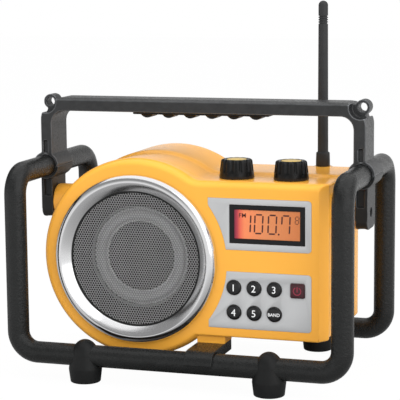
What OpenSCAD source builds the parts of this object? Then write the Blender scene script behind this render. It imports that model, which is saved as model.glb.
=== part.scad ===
// Jobsite radio: round speaker housing and control box inside a bent-tube roll cage.
// Frame: +Z up, front faces -Y, +X to the viewer's right. Origin on the ground, at the
// centre of the cage. Millimetres.

/* [Roll cage] */
// Overall width across the tubes
cage_w = 302; // [300:0.5:320]
// Overall depth across the tubes
cage_d = 182.5; // [180:0.5:200]
// Outer diameter of the tube
tube_d = 18.5; // [17:0.1:19.5]
// Wall of the tube
tube_wall = 1.6; // [1.2:0.1:2.4]
// Radius of every bend, on the centreline of the tube
bend_r = 17.75; // [14:0.25:21]
// Height of the centreline of the two bottom rails
low_rail_z = 22.25; // [21:0.25:23]
// Height of the centreline of the two side rails
high_rail_z = 174.3; // [170:0.1:182]

/* [Feet] */
// Distance of each foot from the middle of its rail
foot_x = 80.7; // [70:0.1:90]
// Widest radius of a foot
foot_r = 14.1; // [13:0.1:16]
// Height of the widest ring of a foot
foot_flare_z = 12; // [9:0.5:13]
// How much a foot draws in towards the ground
foot_taper = 1.2; // [0.5:0.1:2]
// Rounding of the edge that meets the ground
foot_edge = 1.2; // [0.6:0.1:2]
// Thickness of the rubber around the tube at its mid height
foot_skin = 2.25; // [1.8:0.05:3]
// Thickness of the rubber over the top of the tube
foot_cover = 4.7; // [3:0.1:6]

/* [Housing] */
// Front face of the housing, measured from the middle of the cage
front_y = 58.3; // [57:0.1:60]
// Rear face of the housing
rear_y = 62; // [60:0.5:64]
// Where the front and rear shells meet, in front of the middle
split_y = 35; // [33:0.5:37]
// Wall of both shells
wall = 3; // [2.4:0.1:3.4]
// Radius of the round speaker housing at its front lip
drum_r = 85; // [83.5:0.5:86]
// Gap between the left bracket plate and the round housing
drum_gap = 8.5; // [7:0.5:9]
// Height of the centre of the speaker
speaker_z = 102.8; // [102:0.1:104]
// Gap between the control box and the right bracket plate
box_gap = 14; // [12.5:0.5:16]
// Top of the control box
box_top = 171; // [169:0.5:172]
// Underside of the control box
box_bottom = 40.4; // [39:0.2:42]
// How far the front face lies inside the lip
lip_flare = 5.5; // [4:0.25:6]
// Depth of the rounded lip
lip_depth = 9.3; // [8:0.1:11]
// Depth of the waist behind the lip
waist_depth = 1.5; // [0.8:0.1:2]
// How far the rear body stands out past the lip
rear_swell = 0.8; // [0.4:0.1:1.2]
// Rounding of the rear edge
rear_round = 6; // [4:0.5:8]
// Radius of the hollow where the round housing runs into the flat top
blend_r = 20; // [12:1:30]

/* [Speaker] */
// Outer radius of the silver ring
ring_r = 72.3; // [71:0.1:73]
// Radius of the ridge of the silver ring
ring_ridge_r = 65.8; // [64.5:0.1:67]
// How far the ridge stands in front of the face
ring_rise = 7.2; // [5:0.1:8]
// Clear radius inside the ring
ring_clear_r = 58; // [56:0.5:59]
// Depth of the ring's inner cone
ring_dish = 5.8; // [4:0.1:6]
// Thickness of the perforated grille
grille_t = 0.8; // [0.6:0.1:1]
// Distance from hole to hole of the grille
grille_pitch = 6; // [5.5:0.1:7]
// Diameter of the grille's holes
grille_hole = 4.2; // [3:0.1:4.6]
// Outer radius of the surround, the size of the driver
surround_r = 41; // [39:0.5:42]
// Width of the rolled surround
surround_w = 10; // [8:0.5:11]
// Radius of the dust cap
cap_r = 13; // [11:0.5:14]
// Depth of the cone
cone_depth = 17; // [14:0.5:19]
// Radius of the driver's mounting flange
flange_r = 56; // [54:0.5:57]
// Radius of the magnet
magnet_r = 32; // [28:0.5:34]
// How far the cone can move each way
cone_travel = 2; // [1:0.25:2.5]

/* [Handle] */
// How far a post's outer face stands out past the middle of the side rail
handle_over = 3.75; // [2.25:0.25:6.25]
// Thickness of a post
post_t = 10.4; // [9:0.1:12]
// Depth of the handle, front to back
handle_d = 34; // [30:0.5:36]
// Top of the handle
handle_top = 234.3; // [228:0.1:245]
// Thickness of the bar
bar_t = 11.4; // [10:0.1:13]
// Outer radius of the two corners
corner_r = 20; // [18:0.5:22]
// Drop of the bar's rounded long edges
bar_crown = 1.7; // [1:0.1:2.5]
// Radius of the collars around the side rails
collar_r = 12; // [11.4:0.1:13]
// Outer radius of a strap eyelet
eyelet_r = 6.4; // [5.8:0.1:7]
// Radius of the hole of a strap eyelet
eyelet_hole_r = 3.8; // [3:0.1:4.2]
// Length of a strap eyelet
eyelet_len = 12; // [9:0.5:14]
// Radius of the scoop in front of and behind an eyelet
scoop_r = 9.4; // [8:0.1:10.5]
// Length of the soft grip
grip_len = 122; // [110:1:130]
// Number of finger bumps
bump_count = 6; // [4:1:6]
// Distance from bump to bump
bump_pitch = 19.6; // [18:0.1:21]
// Height of a bump
bump_h = 3; // [2:0.1:3.5]

/* [Side brackets] */
// Thickness of a bracket plate
bracket_t = 10.5; // [10:0.5:12]
// Depth of a bracket plate, front to back
bracket_d = 30; // [27:0.5:34]
// Lowest point of a bracket plate
bracket_bottom = 127.6; // [126:0.2:129]
// Height of the screw that holds a plate to the housing
boss_z = 141.5; // [140.5:0.5:143]
// Radius of the housing's round boss
boss_r = 15; // [13.5:0.5:15.5]

/* [Controls] */
// Distance of the volume knob from the hollow beside the round housing
volume_in = 21.43; // [20:0.01:26]
// Distance from knob to knob
knob_dx = 47.6; // [44:0.1:50]
// Distance of the knobs in front of the middle
knob_y = 20; // [18:0.5:22]
// Diameter of a knob at its skirt
knob_d = 30; // [26:0.5:32]
// Height of a knob
knob_h = 16; // [14:0.5:18]
// Number of flutes on a knob
flute_count = 12; // [8:1:14]
// Diameter of the coloured disc on a knob
disc_d = 17; // [14:0.5:20]
// Distance of the left column of buttons from the right side
button_in = 78.6; // [77.5:0.1:79.5]
// Height of the upper row of buttons
button_z = 82.9; // [82:0.1:84]
// Distance from column to column
button_dx = 17.4; // [17:0.1:18]
// Distance from row to row
button_dz = 20.9; // [18:0.1:22]
// Radius of a round button
button_r = 6.3; // [5.5:0.1:6.5]
// Distance of the power button from the right side
power_in = 24; // [22.5:0.1:24.5]
// Side of the square power button
power_w = 12; // [10:0.1:13]
// Travel of a button
button_travel = 1; // [0.6:0.1:1.2]
// Width of the display window
window_w = 64.4; // [60:0.2:66]
// Height of the display window
window_h = 32.2; // [29:0.2:34]
// Distance of the middle of the display window from the right side
window_in = 49.9; // [48.5:0.1:50.5]
// Height of the centre of the display window
window_z = 136.4; // [135:0.1:137]

/* [Aerial] */
// Distance of the aerial from the right side
aerial_in = 31.2; // [28.5:0.1:34.5]
// Distance of the aerial behind the middle
aerial_y = 57; // [56:0.1:58]
// Top of the aerial
aerial_top = 316.5; // [280:0.5:330]
// Diameter of the flexible rod
aerial_d = 9.3; // [8:0.1:10]
// Number of grooves near the tip
groove_count = 4; // [3:1:6]

/* [Battery bay] */
// Diameter of a cell
cell_d = 26; // [25:0.2:26.5]
// Length of a cell
cell_len = 49.5; // [48:0.2:50]
// Gap between the bay and the right side of the control box
bay_in = 10.5; // [10:0.25:11.5]
// Lowest point inside the bay
bay_z = 61.5; // [61.5:0.5:66]

/* [Hidden] */
$fn = 48;

// Clearances
fit_gap = 0.1;
seat_gap = 0.1;
slide_gap = 0.3;
cut = 1;

// Cage
tube_r = tube_d / 2;
rail_x = cage_w / 2 - tube_r;
rail_y = cage_d / 2 - tube_r;

// Bracket plates
plate_in = rail_x - bracket_t / 2;
plate_out = rail_x + bracket_t / 2;

// Housing, between the bracket plates
speaker_x = drum_r + drum_gap - plate_in;
box_right = plate_in - box_gap;
blend_rise = box_top - speaker_z;
blend_run = sqrt(pow(drum_r + blend_r, 2) - pow(blend_rise + blend_r, 2));
blend_x = speaker_x + blend_run;

// The sizes of the controls add up to their room on the face and on the top. Where the real
// room differs, they keep their share of it.
button_margin = 14.6;
knob_margin = 39.5;
face_share = (box_right - speaker_x - ring_r) / (button_in + button_margin);
top_share = (box_right - blend_x) / (volume_in + knob_dx + knob_margin);
dial_d = knob_d * top_share;
dial_disc_d = disc_d * top_share;
volume_x = blend_x + volume_in * top_share;
tuning_x = volume_x + knob_dx * top_share;
button_x = box_right - button_in * face_share;
key_dx = button_dx * face_share;
key_r = button_r * face_share;
power_x = box_right - power_in * face_share;
power_side = power_w * face_share;
window_x = box_right - window_in * face_share;
pane_w = window_w * face_share;
aerial_x = box_right - aerial_in;

crest_y = -front_y + lip_depth;
waist_y0 = crest_y + 6;
waist_y1 = -knob_y + dial_d / 2 + 0.6;
swell_y = waist_y1 + 8;
inset = waist_depth + wall + 0.1;
inner_front = -front_y + wall;
inner_rear = rear_y - wall;
waist_top = box_top - waist_depth;
lip_steps = 5;
blend_steps = 3;

// Bracket, handle and boss
handle_half_w = rail_x + handle_over;
plate_screw_r = 2;
plate_head_r = 4.2;
plate_head_seat = plate_out - 6;
recess_rib = 1.4;
recess_wall = 2.6;
recess_d = 2.2;
recess_rise = 5.5;
handle_screw_y = 8.6;
handle_screw_r = 1.8;
handle_head_r = 3;
handle_seat_z = high_rail_z - tube_r - 5;
handle_screw_top = high_rail_z + tube_r + 8;
leg_out = handle_half_w;
leg_in = handle_half_w - post_t;
inner_corner_r = corner_r - (post_t + bar_t) / 2 + 1.9;
eyelet_x = handle_half_w - 5;
eyelet_z = handle_top - 4.2;
grip_w = 22;
grip_t = 2.2;

// Saddles and pedestals
ped_gap = 4.08;
ped_w = 24.5;
ped_y0 = 36;
ped_y1 = 55;
saddle_top = low_rail_z + tube_r + 2;
ped_x0 = speaker_x + sqrt(pow(drum_r, 2) - pow(speaker_z - saddle_top, 2)) + ped_gap;
ped_x1 = ped_x0 + ped_w;
saddle_bottom = low_rail_z + 2.25;
saddle_r = tube_r + 2;
saddle_screw_x = (ped_x0 + ped_x1) / 2;
saddle_screw_y = (ped_y0 + ped_y1) / 2;
saddle_screw_r = 2;

// Speaker
opening_r = 62.2;
lip_t = 0.8;
ring_lip_y = -front_y - ring_rise + ring_dish;
grille_y = ring_lip_y + lip_t + fit_gap;
grille_r = 60.5;
skirt_r = opening_r + 2.8;
baffle_y = inner_front + 6.3;
baffle_t = 2.5;
baffle_r = surround_r + 3.5;
basket_y = baffle_y + baffle_t + slide_gap;
basket_t = 2;
basket_bore = surround_r + 1.6;
basket_gap = 18;
surround_y = basket_y + 2.4;
sheet = 0.6;
cone_y = surround_y + sheet;
coil_y = cone_y + cone_depth;
leg_y = coil_y + 5;
plate_y = leg_y + 2;
magnet_y = plate_y + 4;
yoke_y = magnet_y + 12;
yoke_end = yoke_y + 4;
coil_r = cap_r - 0.3;
magnet_gap = 5;
cap_h = 5;
speaker_screw_pcd_r = flange_r - 4;

// Front of the controls
overlay_t = 0.6;
overlay_round = 3;
overlay_y = -front_y + 0.4;
overlay_gap = 8.7;
overlay_arc = ring_r + overlay_gap * face_share;
overlay_left = 100.7;
overlay_right = 37.5;
overlay_rim = 5.2;
overlay_key = 13.6;
overlay_x0 = box_right - overlay_left * face_share;
overlay_x1 = window_x + overlay_right * face_share;
upper_z0 = window_z - window_h / 2 - overlay_rim - 0.5;
upper_z1 = window_z + window_h / 2 + overlay_rim - 0.1;
lower_z0 = button_z - button_dz - overlay_key - 0.2;
lower_z1 = button_z + overlay_key - 0.2;
window_ledge = 3;
window_y = -front_y + 1.8;
key_front = inner_front + slide_gap;
key_flange = 1;
key_proud = 1.9;
switch_plunger_y = key_front + key_flange + button_travel + slide_gap;
switch_y = switch_plunger_y + 0.7;
board_y = switch_y + 3.5;
board_t = 1.6;
board_gap = 2;
board_in = 16.5;
chip_w = 14;
board_x0 = speaker_x + skirt_r + board_gap;
board_x1 = box_right - board_in;
board_z0 = 47;
board_z1 = 160;
lcd_t = board_y - window_y - 0.3;

// Knobs
knob_z = waist_top + slide_gap;
shaft_r = 3;
bush_r = 3.6;
nut_r = 5.5;
nut_h = 2;
bush_top = waist_top + nut_h + 0.6;
pot_top = box_top - inset;
pot_h = 9;
pot_r = 8.5;
shaft_top = knob_z + knob_h - 4;
disc_t = 1.2;

// Aerial
aerial_foot = box_top + rear_swell;
aerial_collar_h = 12.5;
aerial_collar_r = 6.2;
aerial_boss_r = 9;
socket_r = 4;
socket_len = 16;
aerial_column = 30;
aerial_cone = 8;
aerial_sleeve = 24;

// Battery bay
contact_room = 10;
bay_w = 2 * cell_len + contact_room;
bay_h = 2 * cell_d + 4.5;
bay_d = cell_d + 1.6;
bay_x = box_right - bay_in - bay_w;
tray_wall = 2;
tray_back = rear_y - 4;
bay_x1 = bay_x + bay_w;
bay_z1 = bay_z + bay_h;
door_rim = 3;
frame_rim = 2.2;
door_r = 1.8;
groove_w = 24;
door_y = rear_y - door_r;
door_axis_z = bay_z - door_rim + door_r;
door_pin_r = 1.1;
door_pin_len = 3;

// Shell screws, four round the driver and two in the corners of the box
post_r = 5.5;
post_screw_r = 1.5;
post_head_r = 3.6;
post_seat = -split_y + 14;
post_reach = 9;
post_in = 11;
post_ring = max(drum_r - 12, skirt_r + post_r + 0.5);
shell_posts = concat(
  [for (a = [135, 225, 270, 75]) [speaker_x + post_ring * cos(a), speaker_z + post_ring * sin(a)]],
  [[box_right - post_in, box_top - post_in], [box_right - post_in, box_bottom + post_in - 1]]
);

// Jack recess, midway between a shell screw and the battery bay
jack_w = 38;
jack_x0 = (shell_posts[1][0] + bay_x - jack_w) / 2;
jack_x1 = jack_x0 + jack_w;
jack_z0 = 50;
jack_z1 = 68;
jack_floor = rear_y - 6;
flap_r = 1;
flap_y = rear_y - flap_r;
flap_axis_z = jack_z1 - slide_gap - flap_r;

// ---- Building blocks ----

// Child drawn in X and Z, extruded from y0 back to y1
module slab(y0, y1) {
  translate([0, y1, 0]) rotate([90, 0, 0]) linear_extrude(y1 - y0) children();
}

// Child drawn in Y and Z, extruded from x0 to x1
module side_slab(x0, x1) {
  translate([x0, 0, 0]) rotate([90, 0, 90]) linear_extrude(x1 - x0) children();
}

module rod_x(x0, x1, y, z, r) {
  translate([x0, y, z]) rotate([0, 90, 0]) cylinder(h = x1 - x0, r = r);
}

module rod_y(y0, y1, x, z, r) {
  translate([x, y1, z]) rotate([90, 0, 0]) cylinder(h = y1 - y0, r = r);
}

module rod_z(z0, z1, x, y, r) {
  translate([x, y, z0]) cylinder(h = z1 - z0, r = r);
}

// Child drawn as radius and minus Y, turned around the speaker's axis
module around_speaker() {
  translate([speaker_x, 0, speaker_z]) rotate([90, 0, 0]) rotate_extrude($fn = 96) children();
}

// A ring about the speaker's axis, from radius r0 to r1 and from y0 to y1
module speaker_band(r0, r1, y0, y1) {
  around_speaker() translate([r0, -y1]) square([r1 - r0, y1 - y0]);
}

// Pan-head screw along +Z, its head's seat at the origin and its shank above it
module screw(shank_r, head_r, head_h, len) {
  difference() {
    union() {
      translate([0, 0, -head_h]) cylinder(h = head_h, r1 = head_r * 0.8, r2 = head_r);
      translate([0, 0, -0.01]) cylinder(h = len + 0.01, r = shank_r);
    }
    for (a = [0, 90]) {
      rotate([0, 0, a]) translate([-head_r * 0.55, -0.4, -head_h - cut]) cube([head_r * 1.1, 0.8, cut + 1.2]);
    }
  }
}

// ---- Roll cage ----

// Bend from a front post into the bottom rail, on the left
module low_bend(y, r) {
  translate([-(rail_x - bend_r), y, low_rail_z + bend_r]) rotate([90, 0, 0]) rotate([0, 0, 180])
    rotate_extrude(angle = 90) translate([bend_r, 0]) circle(r);
}

// Bend from a front post into a side rail
module high_bend(x, r) {
  translate([x, -(rail_y - bend_r), high_rail_z - bend_r]) rotate([90, 0, 90]) rotate([0, 0, 90])
    rotate_extrude(angle = 90) translate([bend_r, 0]) circle(r);
}

module cage_loop(r) {
  for (sy = [-1, 1]) {
    rod_x(-(rail_x - bend_r), rail_x - bend_r, sy * rail_y, low_rail_z, r);
    for (sx = [-1, 1]) {
      rod_z(low_rail_z + bend_r, high_rail_z - bend_r, sx * rail_x, sy * rail_y, r);
    }
    low_bend(sy * rail_y, r);
    mirror([1, 0, 0]) low_bend(sy * rail_y, r);
  }
  for (sx = [-1, 1]) {
    rod_y(-(rail_y - bend_r), rail_y - bend_r, sx * rail_x, high_rail_z, r);
    high_bend(sx * rail_x, r);
    mirror([0, 1, 0]) high_bend(sx * rail_x, r);
  }
}

module cage_frame() {
  color("#26282a") difference() {
    cage_loop(tube_r);
    cage_loop(tube_r - tube_wall);
    // Cross holes for the handle screws
    for (sx = [-1, 1]) {
      for (sy = [-1, 1]) {
        rod_z(high_rail_z - tube_r - cut, high_rail_z + tube_r + cut,
              sx * rail_x, sy * handle_screw_y, handle_screw_r + fit_gap);
      }
    }
    // Holes for the foot screws, in the underside of the rails
    for (sx = [-1, 1]) {
      for (sy = [-1, 1]) {
        rod_z(low_rail_z - tube_r - cut, low_rail_z, sx * foot_x, sy * rail_y, 1.5);
      }
    }
  }
}

// Bell-shaped outline of a foot: cone below, quarter ellipse over the tube
function foot_outline() = concat(
  [[0, 0], [foot_r - foot_taper - foot_edge, 0], [foot_r - foot_taper, foot_edge], [foot_r, foot_flare_z]],
  [for (t = [0:10:80]) [
    (tube_r + foot_skin) * cos(t),
    low_rail_z + (tube_r + foot_cover) * sin(t)
  ]],
  [[0, low_rail_z + tube_r + foot_cover]]
);

module foot(sx, sy) {
  color("#1d1e1f") translate([sx * foot_x, sy * rail_y, 0]) difference() {
    rotate_extrude() polygon(foot_outline());
    rod_x(-foot_r - cut, foot_r + cut, 0, low_rail_z, tube_r + seat_gap);
    rod_z(-cut, 5, 0, 0, 3.8);
    rod_z(0, low_rail_z, 0, 0, 1.6);
  }
}

module foot_screws() {
  color("silver") for (sx = [-1, 1]) {
    for (sy = [-1, 1]) {
      translate([sx * foot_x, sy * rail_y, 5]) screw(1.5, 3.4, 2.4, low_rail_z - tube_r - 5 + tube_wall + 1);
    }
  }
}

// Saddle that clips over a bottom rail and carries a pedestal of the housing
module saddle(sy) {
  color("#1d1e1f") difference() {
    side_slab(ped_x0, ped_x1) scale([sy, 1]) difference() {
      union() {
        translate([rail_y, low_rail_z]) circle(saddle_r);
        translate([ped_y0, saddle_bottom]) square([rail_y - ped_y0, saddle_top - saddle_bottom]);
      }
      translate([rail_y, low_rail_z]) circle(tube_r + seat_gap);
      translate([rail_y - tube_r, low_rail_z - 2 * tube_r]) square([3 * tube_r, 2 * tube_r]);
    }
    rod_z(saddle_bottom - cut, saddle_bottom + 3, saddle_screw_x, sy * saddle_screw_y, 4.2);
    rod_z(saddle_bottom, saddle_top + cut, saddle_screw_x, sy * saddle_screw_y, saddle_screw_r + fit_gap);
  }
}

module saddle_screws() {
  color("silver") for (sy = [-1, 1]) {
    translate([saddle_screw_x, sy * saddle_screw_y, saddle_bottom + 3])
      screw(saddle_screw_r, 3.8, 2.6, saddle_top - saddle_bottom + 3.5);
  }
}

// ---- Handle ----

module rounded_arch(half_w, top, bottom, r) {
  union() {
    translate([-half_w, bottom]) square([2 * half_w, top - bottom - r]);
    translate([-half_w + r, bottom]) square([2 * (half_w - r), top - bottom]);
    for (s = [-1, 1]) {
      translate([s * (half_w - r), top - r]) circle(r);
    }
  }
}

// Arch seen from the side: flat flanks with the long top edges sloped off
module bar_section() {
  half = handle_d / 2;
  polygon([
    [-half, high_rail_z], [half, high_rail_z], [half, handle_top - bar_crown],
    [half - 5, handle_top], [-half + 5, handle_top], [-half, handle_top - bar_crown]
  ]);
}

module handle() {
  half = handle_d / 2;
  color("#2a2c2e") difference() {
    union() {
      intersection() {
        slab(-half, half) difference() {
          rounded_arch(leg_out, handle_top, high_rail_z, corner_r);
          rounded_arch(leg_in, handle_top - bar_t, high_rail_z - cut, inner_corner_r);
        }
        side_slab(-leg_out - cut, leg_out + cut) bar_section();
      }
      // Upper half of each collar
      for (s = [-1, 1]) {
        intersection() {
          rod_y(-half, half, s * rail_x, high_rail_z, collar_r);
          translate([-cage_w, -cage_d, high_rail_z]) cube([2 * cage_w, 2 * cage_d, collar_r + cut]);
        }
        rod_y(-eyelet_len / 2, eyelet_len / 2, s * eyelet_x, eyelet_z, eyelet_r);
      }
    }
    for (s = [-1, 1]) {
      rod_y(-half - cut, half + cut, s * rail_x, high_rail_z, tube_r + seat_gap);
      rod_y(-half - cut, half + cut, s * eyelet_x, eyelet_z, eyelet_hole_r);
      // Scoops and post slots, front and rear
      for (f = [-1, 1]) {
        scale([1, f, 1]) rod_y(eyelet_len / 2, half + cut, s * eyelet_x, eyelet_z, scoop_r);
        translate([s * (leg_out - 4.1) - 2, f * half - 2.5, high_rail_z + tube_r + 2]) cube([4, 5, 11]);
        rod_z(high_rail_z, handle_screw_top + 1, s * rail_x, f * handle_screw_y, handle_screw_r - 0.3);
      }
    }
  }
}

module grip_pad() {
  top = handle_top - bar_t;
  bump_r = (pow(5.5, 2) + pow(bump_h, 2)) / (2 * bump_h);
  color("#17181a") union() {
    translate([-grip_len / 2, -grip_w / 2, top - grip_t]) cube([grip_len, grip_w, grip_t]);
    intersection() {
      for (i = [0:bump_count - 1]) {
        rod_y(-grip_w / 2 + 2, grip_w / 2 - 2,
              (i - (bump_count - 1) / 2) * bump_pitch, top - grip_t - bump_h + bump_r, bump_r);
      }
      translate([-grip_len / 2, -grip_w / 2, top - grip_t - bump_h - cut])
        cube([grip_len, grip_w, bump_h + cut + grip_t / 2]);
    }
  }
}

// Side plate with the lower half of a collar, drawn for the right side
module bracket() {
  half = handle_d / 2;
  plate = bracket_d / 2;
  round_r = 8;
  rise = high_rail_z - bracket_bottom;
  difference() {
    union() {
      side_slab(plate_in, plate_out) union() {
        translate([-plate, bracket_bottom + round_r]) square([2 * plate, rise - round_r]);
        translate([-plate + round_r, bracket_bottom]) square([2 * (plate - round_r), rise]);
        for (s = [-1, 1]) {
          translate([s * (plate - round_r), bracket_bottom + round_r]) circle(round_r);
        }
      }
      intersection() {
        rod_y(-half, half, rail_x, high_rail_z, collar_r);
        translate([0, -cage_d, high_rail_z - collar_r - cut]) cube([2 * cage_w, 2 * cage_d, collar_r + cut]);
      }
    }
    rod_y(-half - cut, half + cut, rail_x, high_rail_z, tube_r + seat_gap);
    for (f = [-1, 1]) {
      // Moulding recess in the front and rear edges, up to the collar
      translate([plate_in + recess_rib, f * plate - recess_d, boss_z + recess_rise])
        cube([bracket_t - recess_rib - recess_wall, 2 * recess_d, handle_seat_z - boss_z + 2 - recess_rise]);
      // Deep pocket and hole of a handle screw
      rod_z(bracket_bottom - cut, handle_seat_z, rail_x, f * handle_screw_y, handle_head_r + fit_gap);
      rod_z(handle_seat_z - cut, high_rail_z, rail_x, f * handle_screw_y, handle_screw_r + fit_gap);
    }
    rod_x(plate_head_seat, plate_out + cut, 0, boss_z, plate_head_r + fit_gap);
    rod_x(plate_in - cut, plate_out, 0, boss_z, plate_screw_r + fit_gap);
  }
}

module right_bracket() {
  color("#2a2c2e") bracket();
}

module left_bracket() {
  color("#2a2c2e") mirror([1, 0, 0]) bracket();
}

module handle_screws() {
  color("silver") for (sx = [-1, 1]) {
    for (sy = [-1, 1]) {
      translate([sx * rail_x, sy * handle_screw_y, handle_seat_z])
        screw(handle_screw_r - 0.3, handle_head_r - 0.1, 2.4, handle_screw_top - handle_seat_z);
    }
  }
}

module bracket_screws() {
  color("silver") for (s = [-1, 1]) {
    translate([s * plate_head_seat, 0, boss_z]) rotate([0, -s * 90, 0])
      screw(plate_screw_r - 0.3, plate_head_r - 0.1, 3, plate_head_seat - plate_in + 12);
  }
}

// ---- Housing ----

// A smooth step from offset d0 at y0 to offset d1 at y1
function s_blend(y0, d0, y1, d1, n) =
  [for (i = [0:n]) [y0 + (y1 - y0) * i / n, d0 + (d1 - d0) * (1 - cos(180 * i / n)) / 2]];

// How far the skin lies outside the nominal outline, front to rear, as [y, offset] pairs
skin = concat(
  [for (i = [0:lip_steps]) [
    -front_y + lip_depth * (1 - cos(90 * i / lip_steps)),
    -lip_flare * (1 - sin(90 * i / lip_steps))
  ]],
  s_blend(crest_y + 1, 0, waist_y0, -waist_depth, blend_steps),
  s_blend(waist_y1, -waist_depth, swell_y, rear_swell, blend_steps),
  [for (i = [0:blend_steps]) [
    rear_y - rear_round * (1 - sin(90 * i / blend_steps)),
    rear_swell - rear_round * (1 - cos(90 * i / blend_steps))
  ]]
);

// The right side has a flat bevel in place of the rounded lip
side_skin = concat(
  [[-front_y, -lip_flare - 0.7], [-front_y + 0.7, -lip_flare]],
  [for (p = skin) if (p[0] >= crest_y - 0.01) p]
);

module drum_solid() {
  around_speaker() polygon(concat(
    [[0, front_y]], [for (p = skin) [drum_r + p[1], -p[0]]], [[0, -rear_y]]
  ));
}

module box_solid() {
  intersection() {
    translate([0, 0, box_bottom]) linear_extrude(box_top - box_bottom + cut) polygon(concat(
      [[speaker_x, -front_y]], [for (p = side_skin) [box_right + p[1], p[0]]], [[speaker_x, rear_y]]
    ));
    side_slab(speaker_x, box_right + cut) polygon(concat(
      [[-front_y, box_bottom]], [for (p = skin) [p[0], box_top + p[1]]], [[rear_y, box_bottom]]
    ));
  }
}

// Hollow corner between the round housing and the flat top, about its own axis
module top_blend() {
  hub = [blend_x, box_top + blend_r];
  difference() {
    slab(-front_y, rear_y) polygon([[speaker_x, speaker_z], hub, [hub[0], speaker_z]]);
    translate([hub[0], 0, hub[1]]) rotate([90, 0, 0]) rotate_extrude($fn = 96) polygon(concat(
      [[0, front_y + cut], [blend_r + lip_flare + 0.1, front_y + cut]],
      [for (p = skin) [blend_r - p[1] + 0.1, -p[0]]],
      [[blend_r + rear_round + 0.1, -rear_y - cut], [0, -rear_y - cut]]
    ));
  }
}

// Round bosses that the side brackets are screwed to
module bracket_bosses() {
  rod_x(-plate_in, speaker_x - drum_r * 0.8, 0, boss_z, boss_r);
  rod_x(box_right - inset - 4, plate_in, 0, boss_z, boss_r);
}

module pedestal(sy) {
  y0 = sy > 0 ? ped_y0 : -ped_y1;
  translate([ped_x0, y0, saddle_top]) cube([ped_x1 - ped_x0, ped_y1 - ped_y0, box_bottom + wall - saddle_top]);
}

// Outline of the housing, drawn in by the given amount, above its flat floor
module inner_outline(d) {
  translate([speaker_x, speaker_z]) circle(drum_r - d, $fn = 96);
  translate([speaker_x, box_bottom + wall])
    square([box_right - d - speaker_x, box_top - d - box_bottom - wall]);
}

// Space inside both shells, wider behind the waist
module hollow() {
  slab(inner_front, inner_rear) inner_outline(inset);
  slab(swell_y + 2, inner_rear) inner_outline(wall - rear_swell);
}

// Groove and ring of the seal between the shells
module seal_band(inner, outer, y0, y1) {
  difference() {
    slab(y0, y1) union() {
      translate([speaker_x, speaker_z]) circle(drum_r + outer, $fn = 96);
      translate([speaker_x, box_bottom - outer - inset + wall])
        square([box_right + outer - speaker_x, box_top - box_bottom + 2 * outer + inset - wall]);
    }
    slab(y0 - cut, y1 + cut) union() {
      translate([speaker_x, speaker_z]) circle(drum_r + inner, $fn = 96);
      translate([speaker_x, box_bottom - inner - inset + wall])
        square([box_right + inner - speaker_x, box_top - box_bottom + 2 * inner + inset - wall]);
    }
  }
}

module screw_posts(y0, y1, r) {
  for (p = shell_posts) {
    rod_y(y0, y1, p[0], p[1], r);
  }
}

module plate_screw_holes() {
  for (s = [-1, 1]) {
    scale([s, 1, 1]) rod_x(plate_in - 13, plate_in + cut, 0, boss_z, plate_screw_r - 0.3);
  }
}

module saddle_screw_hole(sy) {
  rod_z(saddle_top - cut, saddle_top + 7, saddle_screw_x, sy * saddle_screw_y, saddle_screw_r + 0.05);
}

// Outline of an overlay panel: rounded on the right, with a left edge that follows the speaker
module overlay_outline(z0, z1, gap) {
  r = overlay_round + gap;
  w = overlay_x1 - overlay_x0 + 2 * gap;
  h = z1 - z0 + 2 * gap;
  difference() {
    translate([overlay_x0 - gap, z0 - gap]) union() {
      square([w - r, h]);
      translate([0, r]) square([w, h - 2 * r]);
      for (z = [r, h - r]) {
        translate([w - r, z]) circle(r);
      }
    }
    translate([speaker_x, speaker_z]) circle(overlay_arc - gap, $fn = 96);
  }
}

module button_holes(gap) {
  for (i = [0:2]) {
    for (j = [0:1]) {
      translate([button_x + i * key_dx, button_z - j * button_dz]) circle(key_r + gap);
    }
  }
  translate([power_x - power_side / 2 - gap, button_z - power_side / 2 - gap])
    square([power_side + 2 * gap, power_side + 2 * gap]);
}

module window_outline(gap) {
  translate([window_x - pane_w / 2 - gap, window_z - window_h / 2 - gap])
    square([pane_w + 2 * gap, window_h + 2 * gap]);
}

module front_shell() {
  color("#f5a623") difference() {
    union() {
      difference() {
        union() {
          intersection() {
            union() {
              drum_solid();
              box_solid();
              top_blend();
            }
            translate([-cage_w, -front_y - cut, 0])
              cube([2 * cage_w, front_y + cut - split_y, 2 * high_rail_z]);
          }
          pedestal(-1);
        }
        hollow();
      }
      // Skirt and baffle that carry the driver
      speaker_band(opening_r, skirt_r, -front_y + cut, baffle_y + baffle_t);
      speaker_band(baffle_r, skirt_r, baffle_y, baffle_y + baffle_t);
      // Posts for the shell screws and the display board
      screw_posts(inner_front - cut, -split_y, post_r - 1);
      for (p = board_holes()) {
        rod_y(inner_front - cut, board_y, p[0], p[1], 3);
      }
    }
    around_speaker() translate([0, front_y - wall - cut]) square([opening_r, wall + 2 * cut]);
    seal_band(-inset - 0.1, -inset + 1.4, -split_y - 0.5, -split_y + cut);
    slab(-front_y - cut, overlay_y) overlay_outline(upper_z0, upper_z1, fit_gap);
    slab(-front_y - cut, overlay_y) overlay_outline(lower_z0, lower_z1, fit_gap);
    slab(-front_y - cut, window_y) window_outline(fit_gap);
    slab(-front_y - cut, inner_front + cut) window_outline(-window_ledge);
    slab(-front_y - cut, inner_front + cut) button_holes(slide_gap);
    screw_posts(-split_y - post_reach, -split_y + cut, post_screw_r);
    for (p = board_holes()) {
      rod_y(board_y - 5, board_y + cut, p[0], p[1], 1);
    }
    for (a = [45:90:315]) {
      rod_y(baffle_y + 0.8, baffle_y + baffle_t + cut,
            speaker_x + speaker_screw_pcd_r * cos(a), speaker_z + speaker_screw_pcd_r * sin(a), 1.3);
    }
    saddle_screw_hole(-1);
  }
}

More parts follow.
